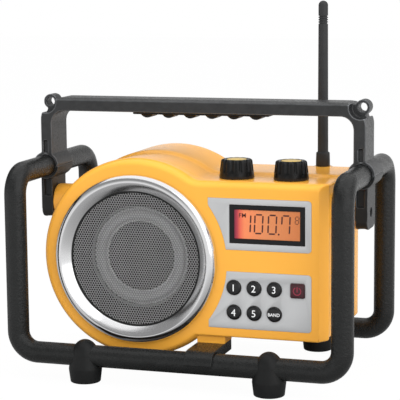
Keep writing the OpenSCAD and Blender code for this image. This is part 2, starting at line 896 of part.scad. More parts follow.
module rear_shell() {
  color("#f5a623") difference() {
    union() {
      difference() {
        union() {
          intersection() {
            union() {
              drum_solid();
              box_solid();
              top_blend();
              bracket_bosses();
            }
            translate([-cage_w, -split_y, 0]) cube([2 * cage_w, rear_y + cut + split_y, 2 * high_rail_z]);
          }
          // Column that holds the aerial's socket, with its lower end drawn in
          rod_z(box_top - aerial_column, aerial_foot, aerial_x, aerial_y, aerial_boss_r);
          translate([aerial_x, aerial_y, box_top - aerial_column - aerial_cone])
            cylinder(h = aerial_cone + 0.01, r1 = 4, r2 = aerial_boss_r);
          pedestal(1);
        }
        hollow();
      }
      // Inner part of the aerial's column
      rod_z(box_top - aerial_sleeve, box_top - 1, aerial_x, aerial_y, socket_r + 3);
      rod_x(box_right - inset - 4, box_right, 0, boss_z, 6);
      screw_posts(-split_y, inner_rear + cut, post_r);
      // Frame round the battery opening, and the wall of the jack recess
      slab(tray_back, inner_rear + cut) door_outline(frame_rim);
      slab(jack_floor - 2, inner_rear + cut) jack_outline(2);
    }
    seal_band(-inset - 0.1, -inset + 1.4, -split_y - cut, -split_y + 0.5);
    slab(tray_back - cut, rear_y + cut) door_outline(0.5);
    rod_x(bay_x - door_rim - door_pin_len - 0.5, bay_x1 + door_rim + door_pin_len + 0.5,
          door_y, door_axis_z, door_pin_r + fit_gap);
    slab(jack_floor, rear_y + cut) jack_outline(0);
    rod_x(jack_x0 - 2, jack_x1 + 2, flap_y, flap_axis_z, 0.6 + fit_gap);
    jack_holes(0.1);
    screw_posts(post_seat, rear_y + cut, post_head_r + 0.2);
    screw_posts(-split_y - cut, post_seat + cut, post_screw_r + 0.3);
    for (x = [volume_x, tuning_x]) {
      rod_z(pot_top - cut, box_top + 2, x, -knob_y, bush_r + fit_gap);
    }
    rod_z(aerial_foot - socket_len, aerial_foot + cut, aerial_x, aerial_y, socket_r + fit_gap);
    plate_screw_holes();
    saddle_screw_hole(1);
  }
}

module shell_gasket() {
  color("#202020") seal_band(-inset, -inset + 1.3, -split_y - 0.5 + seat_gap, -split_y + 0.5 - seat_gap);
}

module shell_screws() {
  color("silver") for (p = shell_posts) {
    translate([p[0], post_seat, p[1]]) rotate([90, 0, 0])
      screw(post_screw_r, post_head_r - 0.3, 2.4, post_seat + split_y + post_reach - 2);
  }
}

// ---- Speaker ----

module speaker_ring() {
  color("#c9ccd0") around_speaker() polygon(concat(
    [[ring_clear_r, -ring_lip_y]],
    [for (i = [0:6]) [
      ring_ridge_r + (ring_r - ring_ridge_r) * sin(15 * i),
      front_y + 0.6 + (ring_rise - 0.6) * cos(15 * i)
    ]],
    [[ring_r, front_y], [opening_r - 0.1, front_y], [opening_r - 0.1, front_y - wall + 0.4],
     [grille_r + 0.2, front_y - wall + 0.4], [grille_r + 0.2, -ring_lip_y - lip_t],
     [ring_clear_r, -ring_lip_y - lip_t]]
  ));
}

// Flat perforated sheet with its holes in a hexagonal grid
module speaker_grille() {
  rows = floor((ring_clear_r - 1) / (grille_pitch * sin(60)));
  span = ceil(2 * ring_clear_r / grille_pitch);
  reach = ring_clear_r - grille_hole / 2 - 0.6;
  color("#4a4c4e") slab(grille_y, grille_y + grille_t) translate([speaker_x, speaker_z]) difference() {
    circle(grille_r, $fn = 96);
    for (j = [-rows:rows]) {
      for (i = [-span:span]) {
        px = (i + (abs(j) % 2) / 2) * grille_pitch;
        pz = j * grille_pitch * sin(60);
        if (norm([px, pz]) < reach) {
          translate([px, pz]) circle(d = grille_hole, $fn = 16);
        }
      }
    }
  }
}

module foam_ring() {
  color("#151515") speaker_band(baffle_r, opening_r - 0.2, baffle_y - 1.2, baffle_y);
}

module speaker_basket() {
  color("#3a3c3e") difference() {
    union() {
      speaker_band(basket_bore, flange_r, basket_y, basket_y + basket_t);
      speaker_band(surround_r - 0.4, basket_bore + 1, surround_y + sheet, surround_y + sheet + 1.2);
      around_speaker() polygon([
        [basket_bore, -basket_y - basket_t + 0.1], [basket_bore + 2.4, -basket_y - basket_t + 0.1],
        [magnet_r + 2.4, -leg_y], [magnet_r, -leg_y]
      ]);
      speaker_band(coil_r + 2, magnet_r + 2.4, leg_y - 0.1, plate_y);
    }
    // Six windows in the conical frame
    for (a = [0:60:300]) {
      translate([speaker_x, 0, speaker_z]) rotate([0, a, 0])
        translate([magnet_r - 8, basket_y + basket_t + 3, -basket_gap / 2])
          cube([basket_bore - magnet_r + 20, leg_y - basket_y - basket_t - 6, basket_gap]);
    }
    for (a = [45:90:315]) {
      rod_y(basket_y - cut, basket_y + basket_t + cut,
            speaker_x + speaker_screw_pcd_r * cos(a), speaker_z + speaker_screw_pcd_r * sin(a), 1.7);
    }
  }
}

module speaker_screws() {
  color("silver") for (a = [45:90:315]) {
    translate([speaker_x + speaker_screw_pcd_r * cos(a), basket_y + basket_t,
               speaker_z + speaker_screw_pcd_r * sin(a)])
      rotate([90, 0, 0]) screw(1.3, 2.8, 1.8, basket_t + 1.8);
  }
}

module speaker_magnet() {
  color("#333333") union() {
    speaker_band(coil_r + 1, magnet_r - 2, plate_y, magnet_y);
    speaker_band(coil_r + magnet_gap, magnet_r, magnet_y, yoke_y);
  }
}

module speaker_yoke() {
  color("#8a8d90") union() {
    speaker_band(0, magnet_r - 1, yoke_y, yoke_end);
    speaker_band(0, coil_r - 1.1, plate_y, yoke_y + 0.1);
  }
}

// Half-roll of rubber round the cone, with flat flanges inside and outside
module speaker_surround() {
  mid = surround_r - surround_w / 2;
  roll = surround_w / 2 - 1;
  color("#8d8f91") around_speaker() union() {
    translate([mid, -surround_y]) difference() {
      circle(roll);
      circle(roll - sheet);
      translate([-surround_w, -surround_w]) square([2 * surround_w, surround_w]);
    }
    translate([mid + roll - sheet, -surround_y - sheet]) square([surround_w / 2 - roll + 1.5, sheet + 0.1]);
    translate([mid - surround_w / 2 - 1, -surround_y - sheet])
      square([surround_w / 2 - roll + 1 + sheet, sheet + 0.1]);
  }
}

module speaker_cone() {
  rim = surround_r - surround_w;
  color("#3b3d40") around_speaker() polygon([
    [rim + 0.6, -cone_y], [rim + 0.6, -cone_y - sheet], [rim - 0.6, -cone_y - sheet],
    [coil_r + 0.6, -coil_y], [coil_r - 0.4, -coil_y], [coil_r - 0.4, -coil_y + sheet], [rim - 1.4, -cone_y]
  ]);
}

module dust_cap() {
  color("#2c2e30") around_speaker() polygon(concat(
    [for (i = [0:6]) [(coil_r + 1.6) * cos(15 * i), 2.9 - coil_y + cap_h * sin(15 * i)]],
    [for (i = [6:-1:0]) [(coil_r + 1) * cos(15 * i), 2.3 - coil_y + cap_h * sin(15 * i)]]
  ));
}

module voice_coil() {
  color("#b87333") speaker_band(coil_r - 0.4, coil_r, coil_y, magnet_y + 2);
}

// ---- Display and keys ----

module upper_panel() {
  color("#c3c5c9") slab(overlay_y - overlay_t, overlay_y) difference() {
    overlay_outline(upper_z0, upper_z1, 0);
    window_outline(fit_gap);
  }
}

module lower_panel() {
  color("#c3c5c9") slab(overlay_y - overlay_t, overlay_y) difference() {
    overlay_outline(lower_z0, lower_z1, 0);
    button_holes(slide_gap);
  }
}

module display_window() {
  color("#101010") slab(-front_y - 0.3, window_y) window_outline(0);
}

// Display cell and its light box, on the board behind the window
module lcd_module() {
  color("#f08a4b") union() {
    slab(window_y + 0.3, window_y + 3) translate([window_x, window_z])
      square([pane_w - 2 * window_ledge - 1, window_h - 2 * window_ledge - 1], center = true);
    slab(window_y + 3, board_y) translate([window_x, window_z])
      square([pane_w - 2 * window_ledge - 3, window_h - 2 * window_ledge - 3], center = true);
  }
}

function board_holes() = [
  [board_x0 + 4, board_z0 + 4], [board_x1 - 4, board_z0 + 4],
  [board_x0 + 4, board_z1 - 4], [board_x1 - 4, board_z1 - 4]
];

module display_board() {
  color("#1f6b3a") union() {
    difference() {
      slab(board_y, board_y + board_t) translate([board_x0, board_z0])
        square([board_x1 - board_x0, board_z1 - board_z0]);
      for (p = board_holes()) {
        rod_y(board_y - cut, board_y + board_t + cut, p[0], p[1], 1.2);
      }
    }
    // Large chips and capacitors on the rear of the board
    slab(board_y + board_t - 0.1, board_y + board_t + 2)
      translate([window_x - chip_w / 2, window_z - chip_w / 2]) square([chip_w, chip_w]);
    for (i = [0:2]) {
      rod_y(board_y + board_t - 0.1, board_y + board_t + 11,
            board_x0 + chip_w * (i + 1), board_z0 + chip_w, 4);
    }
  }
}

module key_switch(x, z) {
  slab(switch_y, board_y) translate([x - 3, z - 3]) square([6, 6]);
  rod_y(switch_plunger_y, switch_y + 0.1, x, z, 1.75);
}

module key_switches() {
  color("#303030") union() {
    for (i = [0:2]) {
      for (j = [0:1]) {
        key_switch(button_x + i * key_dx, button_z - j * button_dz);
      }
    }
    key_switch(power_x, button_z);
  }
}

// Round key with a shallow dished crown and a retaining flange behind the face
module round_button(i, j) {
  x = button_x + i * key_dx;
  z = button_z - j * button_dz;
  color("#1b1c1e") translate([x, 0, z]) rotate([90, 0, 0]) rotate_extrude() polygon([
    [0, -key_front - key_flange], [key_r + 1.3, -key_front - key_flange],
    [key_r + 1.3, -key_front], [key_r, -key_front],
    [key_r, front_y + key_proud - 0.9], [key_r - 0.35, front_y + key_proud - 0.3],
    [key_r - 1, front_y + key_proud], [key_r - 2, front_y + key_proud - 0.15],
    [0, front_y + key_proud - 0.25]
  ]);
}

module button_1() { round_button(0, 0); }
module button_2() { round_button(1, 0); }
module button_3() { round_button(2, 0); }
module button_4() { round_button(0, 1); }
module button_5() { round_button(1, 1); }
module button_band() { round_button(2, 1); }

module button_power() {
  c = 1.4;
  h = power_side / 2;
  color("#2a1214") union() {
    slab(-front_y - key_proud, key_front + 0.1) translate([power_x, button_z]) union() {
      square([power_side, power_side - 2 * c], center = true);
      square([power_side - 2 * c, power_side], center = true);
      for (sx = [-1, 1]) {
        for (sz = [-1, 1]) {
          translate([sx * (h - c), sz * (h - c)]) circle(c);
        }
      }
    }
    slab(key_front, key_front + key_flange) translate([power_x, button_z])
      square([power_side + 2.4, power_side + 2.4], center = true);
  }
}

// ---- Knobs ----

// Fluted knob with a plain skirt, hollow underneath and bored for its shaft
module knob(x) {
  skirt = 5;
  top_r = dial_d / 2 - 1.9;
  color("#1b1c1e") translate([x, -knob_y, knob_z]) difference() {
    rotate_extrude() polygon([
      [0, 0], [dial_d / 2 - 0.4, 0], [dial_d / 2, 0.5], [top_r + 0.15, knob_h - 2.2],
      [top_r - 0.5, knob_h - 0.8], [top_r - 1.7, knob_h], [0, knob_h]
    ]);
    for (i = [0:flute_count - 1]) {
      rotate([0, 0, 360 * (i + 0.5) / flute_count])
        translate([dial_d / 2 + 1.35, 0, skirt]) rotate([0, -7, 0])
        cylinder(h = knob_h, r = 2.6, $fn = 24);
    }
    translate([0, 0, knob_h - disc_t + 0.4]) cylinder(h = disc_t, r = dial_disc_d / 2 + fit_gap);
    translate([0, 0, -cut]) cylinder(h = bush_top - knob_z + 1 + cut, r = nut_r + 1.5);
    translate([0, 0, -cut]) cylinder(h = shaft_top - knob_z + cut, r = shaft_r);
  }
}

module knob_disc(x) {
  color("#e8b33a") translate([x, -knob_y, knob_z + knob_h - disc_t + 0.4]) rotate_extrude() polygon([
    [0, 0], [dial_disc_d / 2, 0], [dial_disc_d / 2, disc_t - 0.4],
    [dial_disc_d / 2 - 0.6, disc_t - 0.1], [0, disc_t + 0.2]
  ]);
}

module control_shaft(x) {
  color("silver") rod_z(pot_top - 4, shaft_top, x, -knob_y, shaft_r);
}

// Body of a control: can under the top wall, and the bush that passes through it
module control_body(x) {
  color("#7c8084") translate([x, -knob_y, 0]) difference() {
    union() {
      translate([0, 0, pot_top - pot_h]) cylinder(h = pot_h, r = pot_r);
      translate([0, 0, pot_top - 0.1]) cylinder(h = bush_top - pot_top + 0.1, r = bush_r);
      translate([-pot_r + 1, -2.5, pot_top - pot_h - 3]) cube([2 * pot_r - 2, 5, 4]);
    }
    translate([0, 0, pot_top - 5]) cylinder(h = 20, r = shaft_r + fit_gap);
  }
}

module volume_knob() { knob(volume_x); }
module volume_disc() { knob_disc(volume_x); }
module volume_shaft() { control_shaft(volume_x); }
module volume_pot() { control_body(volume_x); }
module tuning_knob() { knob(tuning_x); }
module tuning_disc() { knob_disc(tuning_x); }
module tuning_shaft() { control_shaft(tuning_x); }
module tuning_encoder() { control_body(tuning_x); }

module control_nuts() {
  color("silver") for (x = [volume_x, tuning_x]) {
    translate([x, -knob_y, waist_top]) difference() {
      cylinder(h = nut_h, r = nut_r, $fn = 6);
      translate([0, 0, -cut]) cylinder(h = nut_h + 2 * cut, r = bush_r + 0.05);
    }
  }
}

// ---- Aerial ----

// Flexible rod with its moulded collar, a grooved section and a rounded tip
module aerial_rod() {
  r = aerial_d / 2;
  tip_r = r - 0.5;
  groove_z = aerial_top - 20;
  color("#222426") translate([aerial_x, aerial_y, 0]) rotate_extrude() polygon(concat(
    [[0, aerial_foot - 10], [2.4, aerial_foot - 10], [2.4, aerial_foot], [aerial_collar_r - 0.4, aerial_foot],
     [aerial_collar_r, aerial_foot + 0.5], [aerial_collar_r - 0.3, aerial_foot + aerial_collar_h - 0.6],
     [aerial_collar_r - 0.8, aerial_foot + aerial_collar_h], [r, aerial_foot + aerial_collar_h]],
    [for (i = [0:groove_count - 1])
      for (p = [[0, 0], [-0.8, 0], [-0.8, 1], [0, 1]]) [tip_r + p[0], groove_z + 2 * i + p[1]]],
    [for (t = [0:15:90]) [tip_r * cos(t), aerial_top - tip_r + tip_r * sin(t)]]
  ));
}

module aerial_socket() {
  color("#b5985a") translate([aerial_x, aerial_y, aerial_foot - socket_len]) difference() {
    cylinder(h = socket_len, r = socket_r);
    translate([0, 0, socket_len - 10.2]) cylinder(h = 11, r = 2.4 + 0.05);
  }
}

// ---- Battery bay ----

module door_outline(gap) {
  translate([bay_x - door_rim - gap, bay_z - door_rim - gap])
    square([bay_w + 2 * (door_rim + gap), bay_h + 2 * (door_rim + gap)]);
}

module battery_tray() {
  color("#2b2d2f") difference() {
    union() {
      slab(tray_back - bay_d - tray_wall, tray_back) translate([bay_x - tray_wall, bay_z - tray_wall])
        square([bay_w + 2 * tray_wall, bay_h + 2 * tray_wall]);
      slab(tray_back - 2, tray_back) door_outline(frame_rim);
    }
    slab(tray_back - bay_d, tray_back + cut) translate([bay_x, bay_z]) square([bay_w, bay_h]);
  }
}

module battery_cells() {
  y = tray_back - bay_d / 2;
  color("#7a5a3a") for (i = [0:1]) {
    for (j = [0:1]) {
      x0 = bay_x + contact_room / 2 + i * cell_len;
      z = bay_z + bay_h / 4 + j * bay_h / 2;
      rod_x(x0, x0 + cell_len - 1.6, y, z, cell_d / 2);
      rod_x(x0 + cell_len - 1.7, x0 + cell_len - 0.2, y, z, 3.2);
    }
  }
}

// Plate and conical spring stack at each end of the two rows
module battery_contacts() {
  y = tray_back - bay_d / 2;
  color("silver") for (j = [0:1]) {
    z = bay_z + bay_h / 4 + j * bay_h / 2;
    for (x = [bay_x, bay_x1 - 0.5]) {
      translate([x, y - 7, z - 7]) cube([0.5, 14, 14]);
    }
    translate([bay_x + 0.4, y, z]) rotate([0, 90, 0]) cylinder(h = contact_room / 2 - 0.6, r1 = 6, r2 = 3);
    rod_x(bay_x1 - contact_room / 2 + 0.1, bay_x1 - 0.4, y, z, 3);
  }
}

// Door with its lower edge rolled about the hinge line, and a finger scoop at the top
module battery_door() {
  x0 = bay_x - door_rim;
  x1 = bay_x1 + door_rim;
  top = bay_z1 + door_rim;
  color("#f5a623") difference() {
    union() {
      translate([x0, rear_y - 2 * door_r, door_axis_z]) cube([x1 - x0, 2 * door_r, top - door_axis_z]);
      rod_x(x0, x1, door_y, door_axis_z, door_r);
      rod_x(x0 - door_pin_len, x1 + door_pin_len, door_y, door_axis_z, door_pin_r);
    }
    translate([(x0 + x1) / 2, rear_y + 5, top]) rotate([90, 0, 0]) cylinder(h = 7, r = 11);
    // Grip grooves under the scoop
    for (i = [0:3]) {
      translate([(x0 + x1) / 2 - groove_w / 2, rear_y - 0.8, top - 16 - 3 * i])
        cube([groove_w, cut + 0.8, 1.4]);
    }
  }
}

// ---- Jacks ----

module jack_outline(gap) {
  translate([jack_x0 - gap, jack_z0 - gap]) square([jack_x1 - jack_x0 + 2 * gap, jack_z1 - jack_z0 + 2 * gap]);
}

module jack_holes(gap) {
  mid_z = (jack_z0 + jack_z1) / 2;
  rod_y(jack_floor - 3, jack_floor + cut, jack_x0 + 11, mid_z, 4.5 + gap);
  rod_y(jack_floor - 3, jack_floor + cut, jack_x1 - 10, mid_z, 3.5 + gap);
}

// Power inlet and audio jack on their small board
module jack_block() {
  mid_z = (jack_z0 + jack_z1) / 2;
  color("#2b2d2f") difference() {
    union() {
      rod_y(jack_floor - 10, jack_floor, jack_x0 + 11, mid_z, 4.5);
      rod_y(jack_floor - 10, jack_floor, jack_x1 - 10, mid_z, 3.5);
      slab(jack_floor - 14, jack_floor - 2.1) translate([jack_x0 + 2, mid_z - 7]) square([14, 14]);
      slab(jack_floor - 14, jack_floor - 2.1) translate([jack_x1 - 16, mid_z - 6]) square([12, 12]);
      slab(jack_floor - 15.6, jack_floor - 14) translate([jack_x0, mid_z - 10]) square([jack_x1 - jack_x0, 20]);
    }
    rod_y(jack_floor - 9, jack_floor + cut, jack_x0 + 11, mid_z, 2.75);
    rod_y(jack_floor - 12, jack_floor + cut, jack_x1 - 10, mid_z, 1.8);
  }
}

// Rubber flap hinged along its top edge
module jack_cover() {
  x0 = jack_x0 + slide_gap;
  x1 = jack_x1 - slide_gap;
  z0 = jack_z0 + slide_gap;
  color("#1d1e1f") union() {
    translate([x0, rear_y - 2 * flap_r, z0]) cube([x1 - x0, 2 * flap_r, flap_axis_z - z0]);
    rod_x(x0, x1, flap_y, flap_axis_z, flap_r);
    rod_x(x0 - 1.5, x1 + 1.5, flap_y, flap_axis_z, 0.6);
    // Lip to lift the flap by
    translate([(x0 + x1) / 2 - 5, rear_y - 0.1, z0]) cube([10, 1.6, 2]);
  }
}

// ---- Feet in their places ----

module foot_front_left() { foot(-1, -1); }
module foot_front_right() { foot(1, -1); }
module foot_rear_left() { foot(-1, 1); }
module foot_rear_right() { foot(1, 1); }
module front_saddle() { saddle(-1); }
module rear_saddle() { saddle(1); }

cage_frame();
foot_front_left();
foot_front_right();
foot_rear_left();
foot_rear_right();
foot_screws();
front_saddle();
rear_saddle();
saddle_screws();
handle();
grip_pad();
left_bracket();
right_bracket();
handle_screws();
bracket_screws();
front_shell();
rear_shell();
shell_gasket();
shell_screws();
speaker_ring();
speaker_grille();
foam_ring();
speaker_basket();
speaker_screws();
speaker_magnet();
speaker_yoke();
speaker_surround();
speaker_cone();
dust_cap();
voice_coil();
upper_panel();
lower_panel();
display_window();
lcd_module();
display_board();
key_switches();
button_1();
button_2();
button_3();
button_4();
button_5();
button_band();
button_power();
volume_knob();
volume_disc();
volume_shaft();
volume_pot();
tuning_knob();
tuning_disc();
tuning_shaft();
tuning_encoder();
control_nuts();
aerial_rod();
aerial_socket();
battery_tray();
battery_cells();
battery_contacts();
battery_door();
jack_block();
jack_cover();
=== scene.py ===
"""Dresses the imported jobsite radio: a mesh and a finish for every piece, a studio and the camera.

Sizes are in millimetres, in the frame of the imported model, and are turned to metres where a mesh is
built. Every piece's object sits at the origin, with its place in its mesh.
"""

from __future__ import annotations

import logging
import math
from collections.abc import Iterable, Sequence
from dataclasses import dataclass, field
from enum import Enum

import bmesh
import bpy
from mathutils import Matrix, Vector

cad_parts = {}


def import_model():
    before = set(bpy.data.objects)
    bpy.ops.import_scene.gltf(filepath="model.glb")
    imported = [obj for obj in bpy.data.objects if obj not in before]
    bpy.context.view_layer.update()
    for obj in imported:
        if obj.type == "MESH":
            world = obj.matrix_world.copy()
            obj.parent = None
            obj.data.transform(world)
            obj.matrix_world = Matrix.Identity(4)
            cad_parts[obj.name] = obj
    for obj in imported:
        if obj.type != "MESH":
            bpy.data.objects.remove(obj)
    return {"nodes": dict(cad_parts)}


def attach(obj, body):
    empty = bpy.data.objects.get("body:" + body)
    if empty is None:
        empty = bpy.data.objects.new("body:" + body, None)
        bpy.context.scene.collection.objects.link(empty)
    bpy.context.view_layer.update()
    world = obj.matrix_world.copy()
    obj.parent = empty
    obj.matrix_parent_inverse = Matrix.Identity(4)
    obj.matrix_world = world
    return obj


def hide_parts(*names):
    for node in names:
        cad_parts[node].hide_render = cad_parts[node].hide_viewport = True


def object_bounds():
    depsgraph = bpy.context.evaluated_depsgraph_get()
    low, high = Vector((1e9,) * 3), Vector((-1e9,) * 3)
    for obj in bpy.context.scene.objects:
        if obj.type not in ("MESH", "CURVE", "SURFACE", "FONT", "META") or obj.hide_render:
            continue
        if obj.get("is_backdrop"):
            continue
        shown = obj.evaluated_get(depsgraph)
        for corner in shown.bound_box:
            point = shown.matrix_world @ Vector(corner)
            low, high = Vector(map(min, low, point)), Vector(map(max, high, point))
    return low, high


LOG = logging.getLogger("jobsite_radio")
MM = 0.001
ROOT_BODY = "radio"
# Two numbers: a point of an outline or a profile, or the ends of a range
Pair = tuple[float, float]
Outline = list[Pair]
UP = (0, 0, 1)
FORWARD = (0, -1, 0)
# Depths between which a cutter goes through the housing's face
FACE_CUT = (-62.0, -50.0)
# Cells of the grille that meet are merged within this distance, in metres
CELL_MERGE_M = 0.00002


# ---- Node trees ----


def linear(colour: str) -> tuple[float, float, float, float]:
    """Turns an sRGB hex colour to linear RGBA.

    Args:
        colour: six hex digits after a hash sign.

    Returns:
        Linear red, green, blue and an alpha of 1.
    """
    channels = [int(colour[i : i + 2], 16) / 255 for i in (1, 3, 5)]
    bent = [c / 12.92 if c <= 0.04045 else ((c + 0.055) / 1.055) ** 2.4 for c in channels]
    return (bent[0], bent[1], bent[2], 1.0)


def add_node(
    tree: bpy.types.NodeTree,
    kind: str,
    settings: dict[str, object] | None = None,
    inputs: dict[str | int, object] | None = None,
) -> bpy.types.Node:
    """Adds a node with its settings and what its sockets take.

    Args:
        tree: the tree that gets the node.
        kind: Blender's name of the node's type.
        settings: properties of the node by name.
        inputs: by socket name or number, an output socket to link, or a plain value.

    Returns:
        The new node.
    """
    made = tree.nodes.new(kind)
    for name, value in (settings or {}).items():
        setattr(made, name, value)
    for key, value in (inputs or {}).items():
        if isinstance(value, bpy.types.NodeSocket):
            tree.links.new(value, made.inputs[key])
        else:
            made.inputs[key].default_value = value
    return made


def maths(tree: bpy.types.NodeTree, operation: str, *values: object) -> bpy.types.NodeSocket:
    """Adds a maths node for an operation on some values, and gives its result."""
    kind = {"operation": operation}
    return add_node(tree, "ShaderNodeMath", kind, dict(enumerate(values))).outputs[0]


def remap(
    tree: bpy.types.NodeTree,
    value: bpy.types.NodeSocket,
    source: Pair,
    target: tuple[object, object] = (0.0, 1.0),
) -> bpy.types.NodeSocket:
    """Maps a value from one range to another, held at both ends, and gives the result."""
    ends = {"Value": value, 1: source[0], 2: source[1], 3: target[0], 4: target[1]}
    return add_node(tree, "ShaderNodeMapRange", {"clamp": True}, ends).outputs[0]


def mixed(
    tree: bpy.types.NodeTree, share: object, first: object, second: object, how: str = "MIX"
) -> bpy.types.NodeSocket:
    """Mixes two colours by the share of the second, from 0 to 1, and gives the mixture."""
    kind = {"data_type": "RGBA", "blend_type": how}
    return add_node(tree, "ShaderNodeMix", kind, {0: share, 6: first, 7: second}).outputs[2]


def reach(tree: bpy.types.NodeTree, vector: bpy.types.NodeSocket) -> bpy.types.NodeSocket:
    """Adds a node that gives a vector's length."""
    kind = {"operation": "LENGTH"}
    return add_node(tree, "ShaderNodeVectorMath", kind, {0: vector}).outputs["Value"]


def add_object(name: str, data: bpy.types.ID) -> bpy.types.Object:
    """Makes an object of some data, in the scene.

    Args:
        name: the object's name.
        data: its mesh, camera or light.

    Returns:
        The object.
    """
    made = bpy.data.objects.new(name, data)
    bpy.context.scene.collection.objects.link(made)
    return made


# ---- Finishes ----

# The pale colour of the painted highlight on sharp edges, and the pointiness at which it starts and
# is full
EDGE_HIGHLIGHT_PALE = "#8a8c8f"
EDGE_HIGHLIGHT_SPAN = (0.51, 0.57)
# The part of the slow noise that shades the colour, and of the grain that changes the roughness
TONE_SPAN = (0.35, 0.7)
GRAIN_SPAN = (0.25, 0.75)
FINE_DETAIL = 3.0
COAT_ROUGHNESS = 0.08
ALONG_STRETCH = (0.04, 1.0, 1.0)


class Grain(Enum):
    """How the fine pattern of a surface runs."""

    CLOUD = "cloud"
    CELLS = "cells"
    ALONG_X = "along x"
    ROUND_Y = "round y"


@dataclass(frozen=True)
class Finish:
    """A surface: what it is made of, its colours, and its fine grain in millimetres."""

    name: str
    colour: str
    shade: str
    roughness: float
    metallic: float = 0.0
    grain: Grain = Grain.CLOUD
    grain_mm: float = 0.8
    bump_mm: float = 0.02
    roughness_swing: float = 0.06
    tone_mm: float = 28.0
    tone: float = 0.35
    # Share of pale colour mixed onto sharp edges: a painted edge highlight
    edge: float = 0.0
    coat: float = 0.0
    specular: float = 0.5

    def pattern(self, tree: bpy.types.NodeTree, centre: Vector) -> bpy.types.NodeSocket:
        """Adds the fine pattern.

        Args:
            tree: the material's tree.
            centre: the point that a round pattern turns about, in millimetres.

        Returns:
            A socket with the pattern's height, from 0 to 1.
        """
        coords = add_node(tree, "ShaderNodeTexCoord").outputs["Object"]
        stretch = ALONG_STRETCH if self.grain is Grain.ALONG_X else (1.0, 1.0, 1.0)
        place = {"Vector": coords, "Location": [-c * MM for c in centre]}
        moved = add_node(tree, "ShaderNodeMapping", None, place).outputs[0]
        fitted = {"Vector": moved, "Scale": stretch}
        scaled = add_node(tree, "ShaderNodeMapping", None, fitted).outputs[0]
        density = 1.0 / (self.grain_mm * MM)
        if self.grain is Grain.CELLS:
            kind = {"feature": "SMOOTH_F1"}
            inputs = {"Vector": scaled, "Scale": density, "Smoothness": 0.6}
            return add_node(tree, "ShaderNodeTexVoronoi", kind, inputs).outputs["Distance"]
        if self.grain is Grain.ROUND_Y:
            apart = add_node(tree, "ShaderNodeSeparateXYZ", None, {"Vector": scaled}).outputs
            flat = add_node(tree, "ShaderNodeCombineXYZ", None, {"X": apart["X"], "Z": apart["Z"]})
            kind = {"noise_dimensions": "1D"}
            inputs = {"W": reach(tree, flat.outputs[0]), "Scale": density, "Detail": FINE_DETAIL}
            return add_node(tree, "ShaderNodeTexNoise", kind, inputs).outputs["Fac"]
        inputs = {"Vector": scaled, "Scale": density, "Detail": FINE_DETAIL, "Roughness": 0.6}
        return add_node(tree, "ShaderNodeTexNoise", None, inputs).outputs["Fac"]

    def material(self, centre: Sequence[float] = (0.0, 0.0, 0.0)) -> bpy.types.Material:
        """Builds the material once, and finds it again after that.

        Args:
            centre: the point that a round pattern turns about, in millimetres.

        Returns:
            The material.
        """
        found = bpy.data.materials.get(self.name)
        if found is not None:
            return found
        made = bpy.data.materials.new(self.name)
        made.use_nodes = True
        tree = made.node_tree
        height = self.pattern(tree, Vector(centre))
        coords = add_node(tree, "ShaderNodeTexCoord").outputs["Object"]
        density = 1.0 / (self.tone_mm * MM)
        slow = {"Vector": coords, "Scale": density, "Detail": 4.0, "Roughness": 0.55}
        tone = add_node(tree, "ShaderNodeTexNoise", None, slow).outputs["Fac"]
        share = remap(tree, tone, TONE_SPAN, (0.0, self.tone))
        colour = mixed(tree, share, linear(self.colour), linear(self.shade))
        # Sharp edges are mixed towards pale grey: a painted edge highlight
        if self.edge > 0.0:
            point = add_node(tree, "ShaderNodeNewGeometry").outputs["Pointiness"]
            edge_highlight_share = remap(tree, point, EDGE_HIGHLIGHT_SPAN, (0.0, self.edge))
            colour = mixed(tree, edge_highlight_share, colour, linear(EDGE_HIGHLIGHT_PALE))
        smoothest = max(0.02, self.roughness - self.roughness_swing)
        roughest = min(1.0, self.roughness + self.roughness_swing)
        rough = remap(tree, height, GRAIN_SPAN, (smoothest, roughest))
        raised = {"Height": height, "Distance": self.bump_mm * MM, "Strength": 1.0}
        bump = add_node(tree, "ShaderNodeBump", None, raised).outputs[0]
        shader = tree.nodes["Principled BSDF"]
        tree.links.new(colour, shader.inputs["Base Color"])
        tree.links.new(rough, shader.inputs["Roughness"])
        tree.links.new(bump, shader.inputs["Normal"])
        shader.inputs["Metallic"].default_value = self.metallic
        shader.inputs["Coat Weight"].default_value = self.coat
        shader.inputs["Coat Roughness"].default_value = COAT_ROUGHNESS
        shader.inputs["Specular IOR Level"].default_value = self.specular
        return made


# Polyester powder coat baked on steel tube: a fine orange-peel texture that spreads the highlight
POWDER_COAT = Finish(
    "powder_coated_steel_black", "#1a1b1b", "#111212", 0.3, grain=Grain.CLOUD, grain_mm=2.1,
    bump_mm=0.5, roughness_swing=0.12, tone_mm=9.0, tone=0.6, specular=0.34,
)
# Glass-filled nylon moulded against a spark-eroded tool: even matte grain, sharp edges with a painted
# pale highlight
NYLON = Finish(
    "moulded_nylon_black", "#1a1b1b", "#121313", 0.4, grain=Grain.CELLS, grain_mm=1.1,
    bump_mm=0.05, roughness_swing=0.08, tone_mm=14.0, tone=0.6, edge=0.5, specular=0.3,
)
# The same nylon on the handle, rubbed dull by hands: paler, with a coarser grain and a stronger
# painted highlight on sharp edges
WORN_NYLON = Finish(
    "hand_worn_nylon_black", "#28292a", "#1c1d1e", 0.38, grain=Grain.CELLS, grain_mm=1.3,
    bump_mm=0.07, roughness_swing=0.1, tone_mm=5.0, tone=0.7, edge=0.6, specular=0.4,
)
# Elastomer moulded over the aerial's spring: dark grey, dull
AERIAL_SLEEVE = Finish(
    "moulded_elastomer_dark_grey", "#2e2f30", "#262728", 0.5, grain_mm=1.2, bump_mm=0.015,
    tone_mm=10.0, tone=0.5, specular=0.3,
)
# Natural rubber, compression moulded: dull and soft, almost no mirror highlight
RUBBER = Finish(
    "moulded_rubber_black", "#151616", "#0f0f10", 0.45, grain_mm=1.6, bump_mm=0.03,
    tone_mm=10.0, tone=0.5, specular=0.25,
)
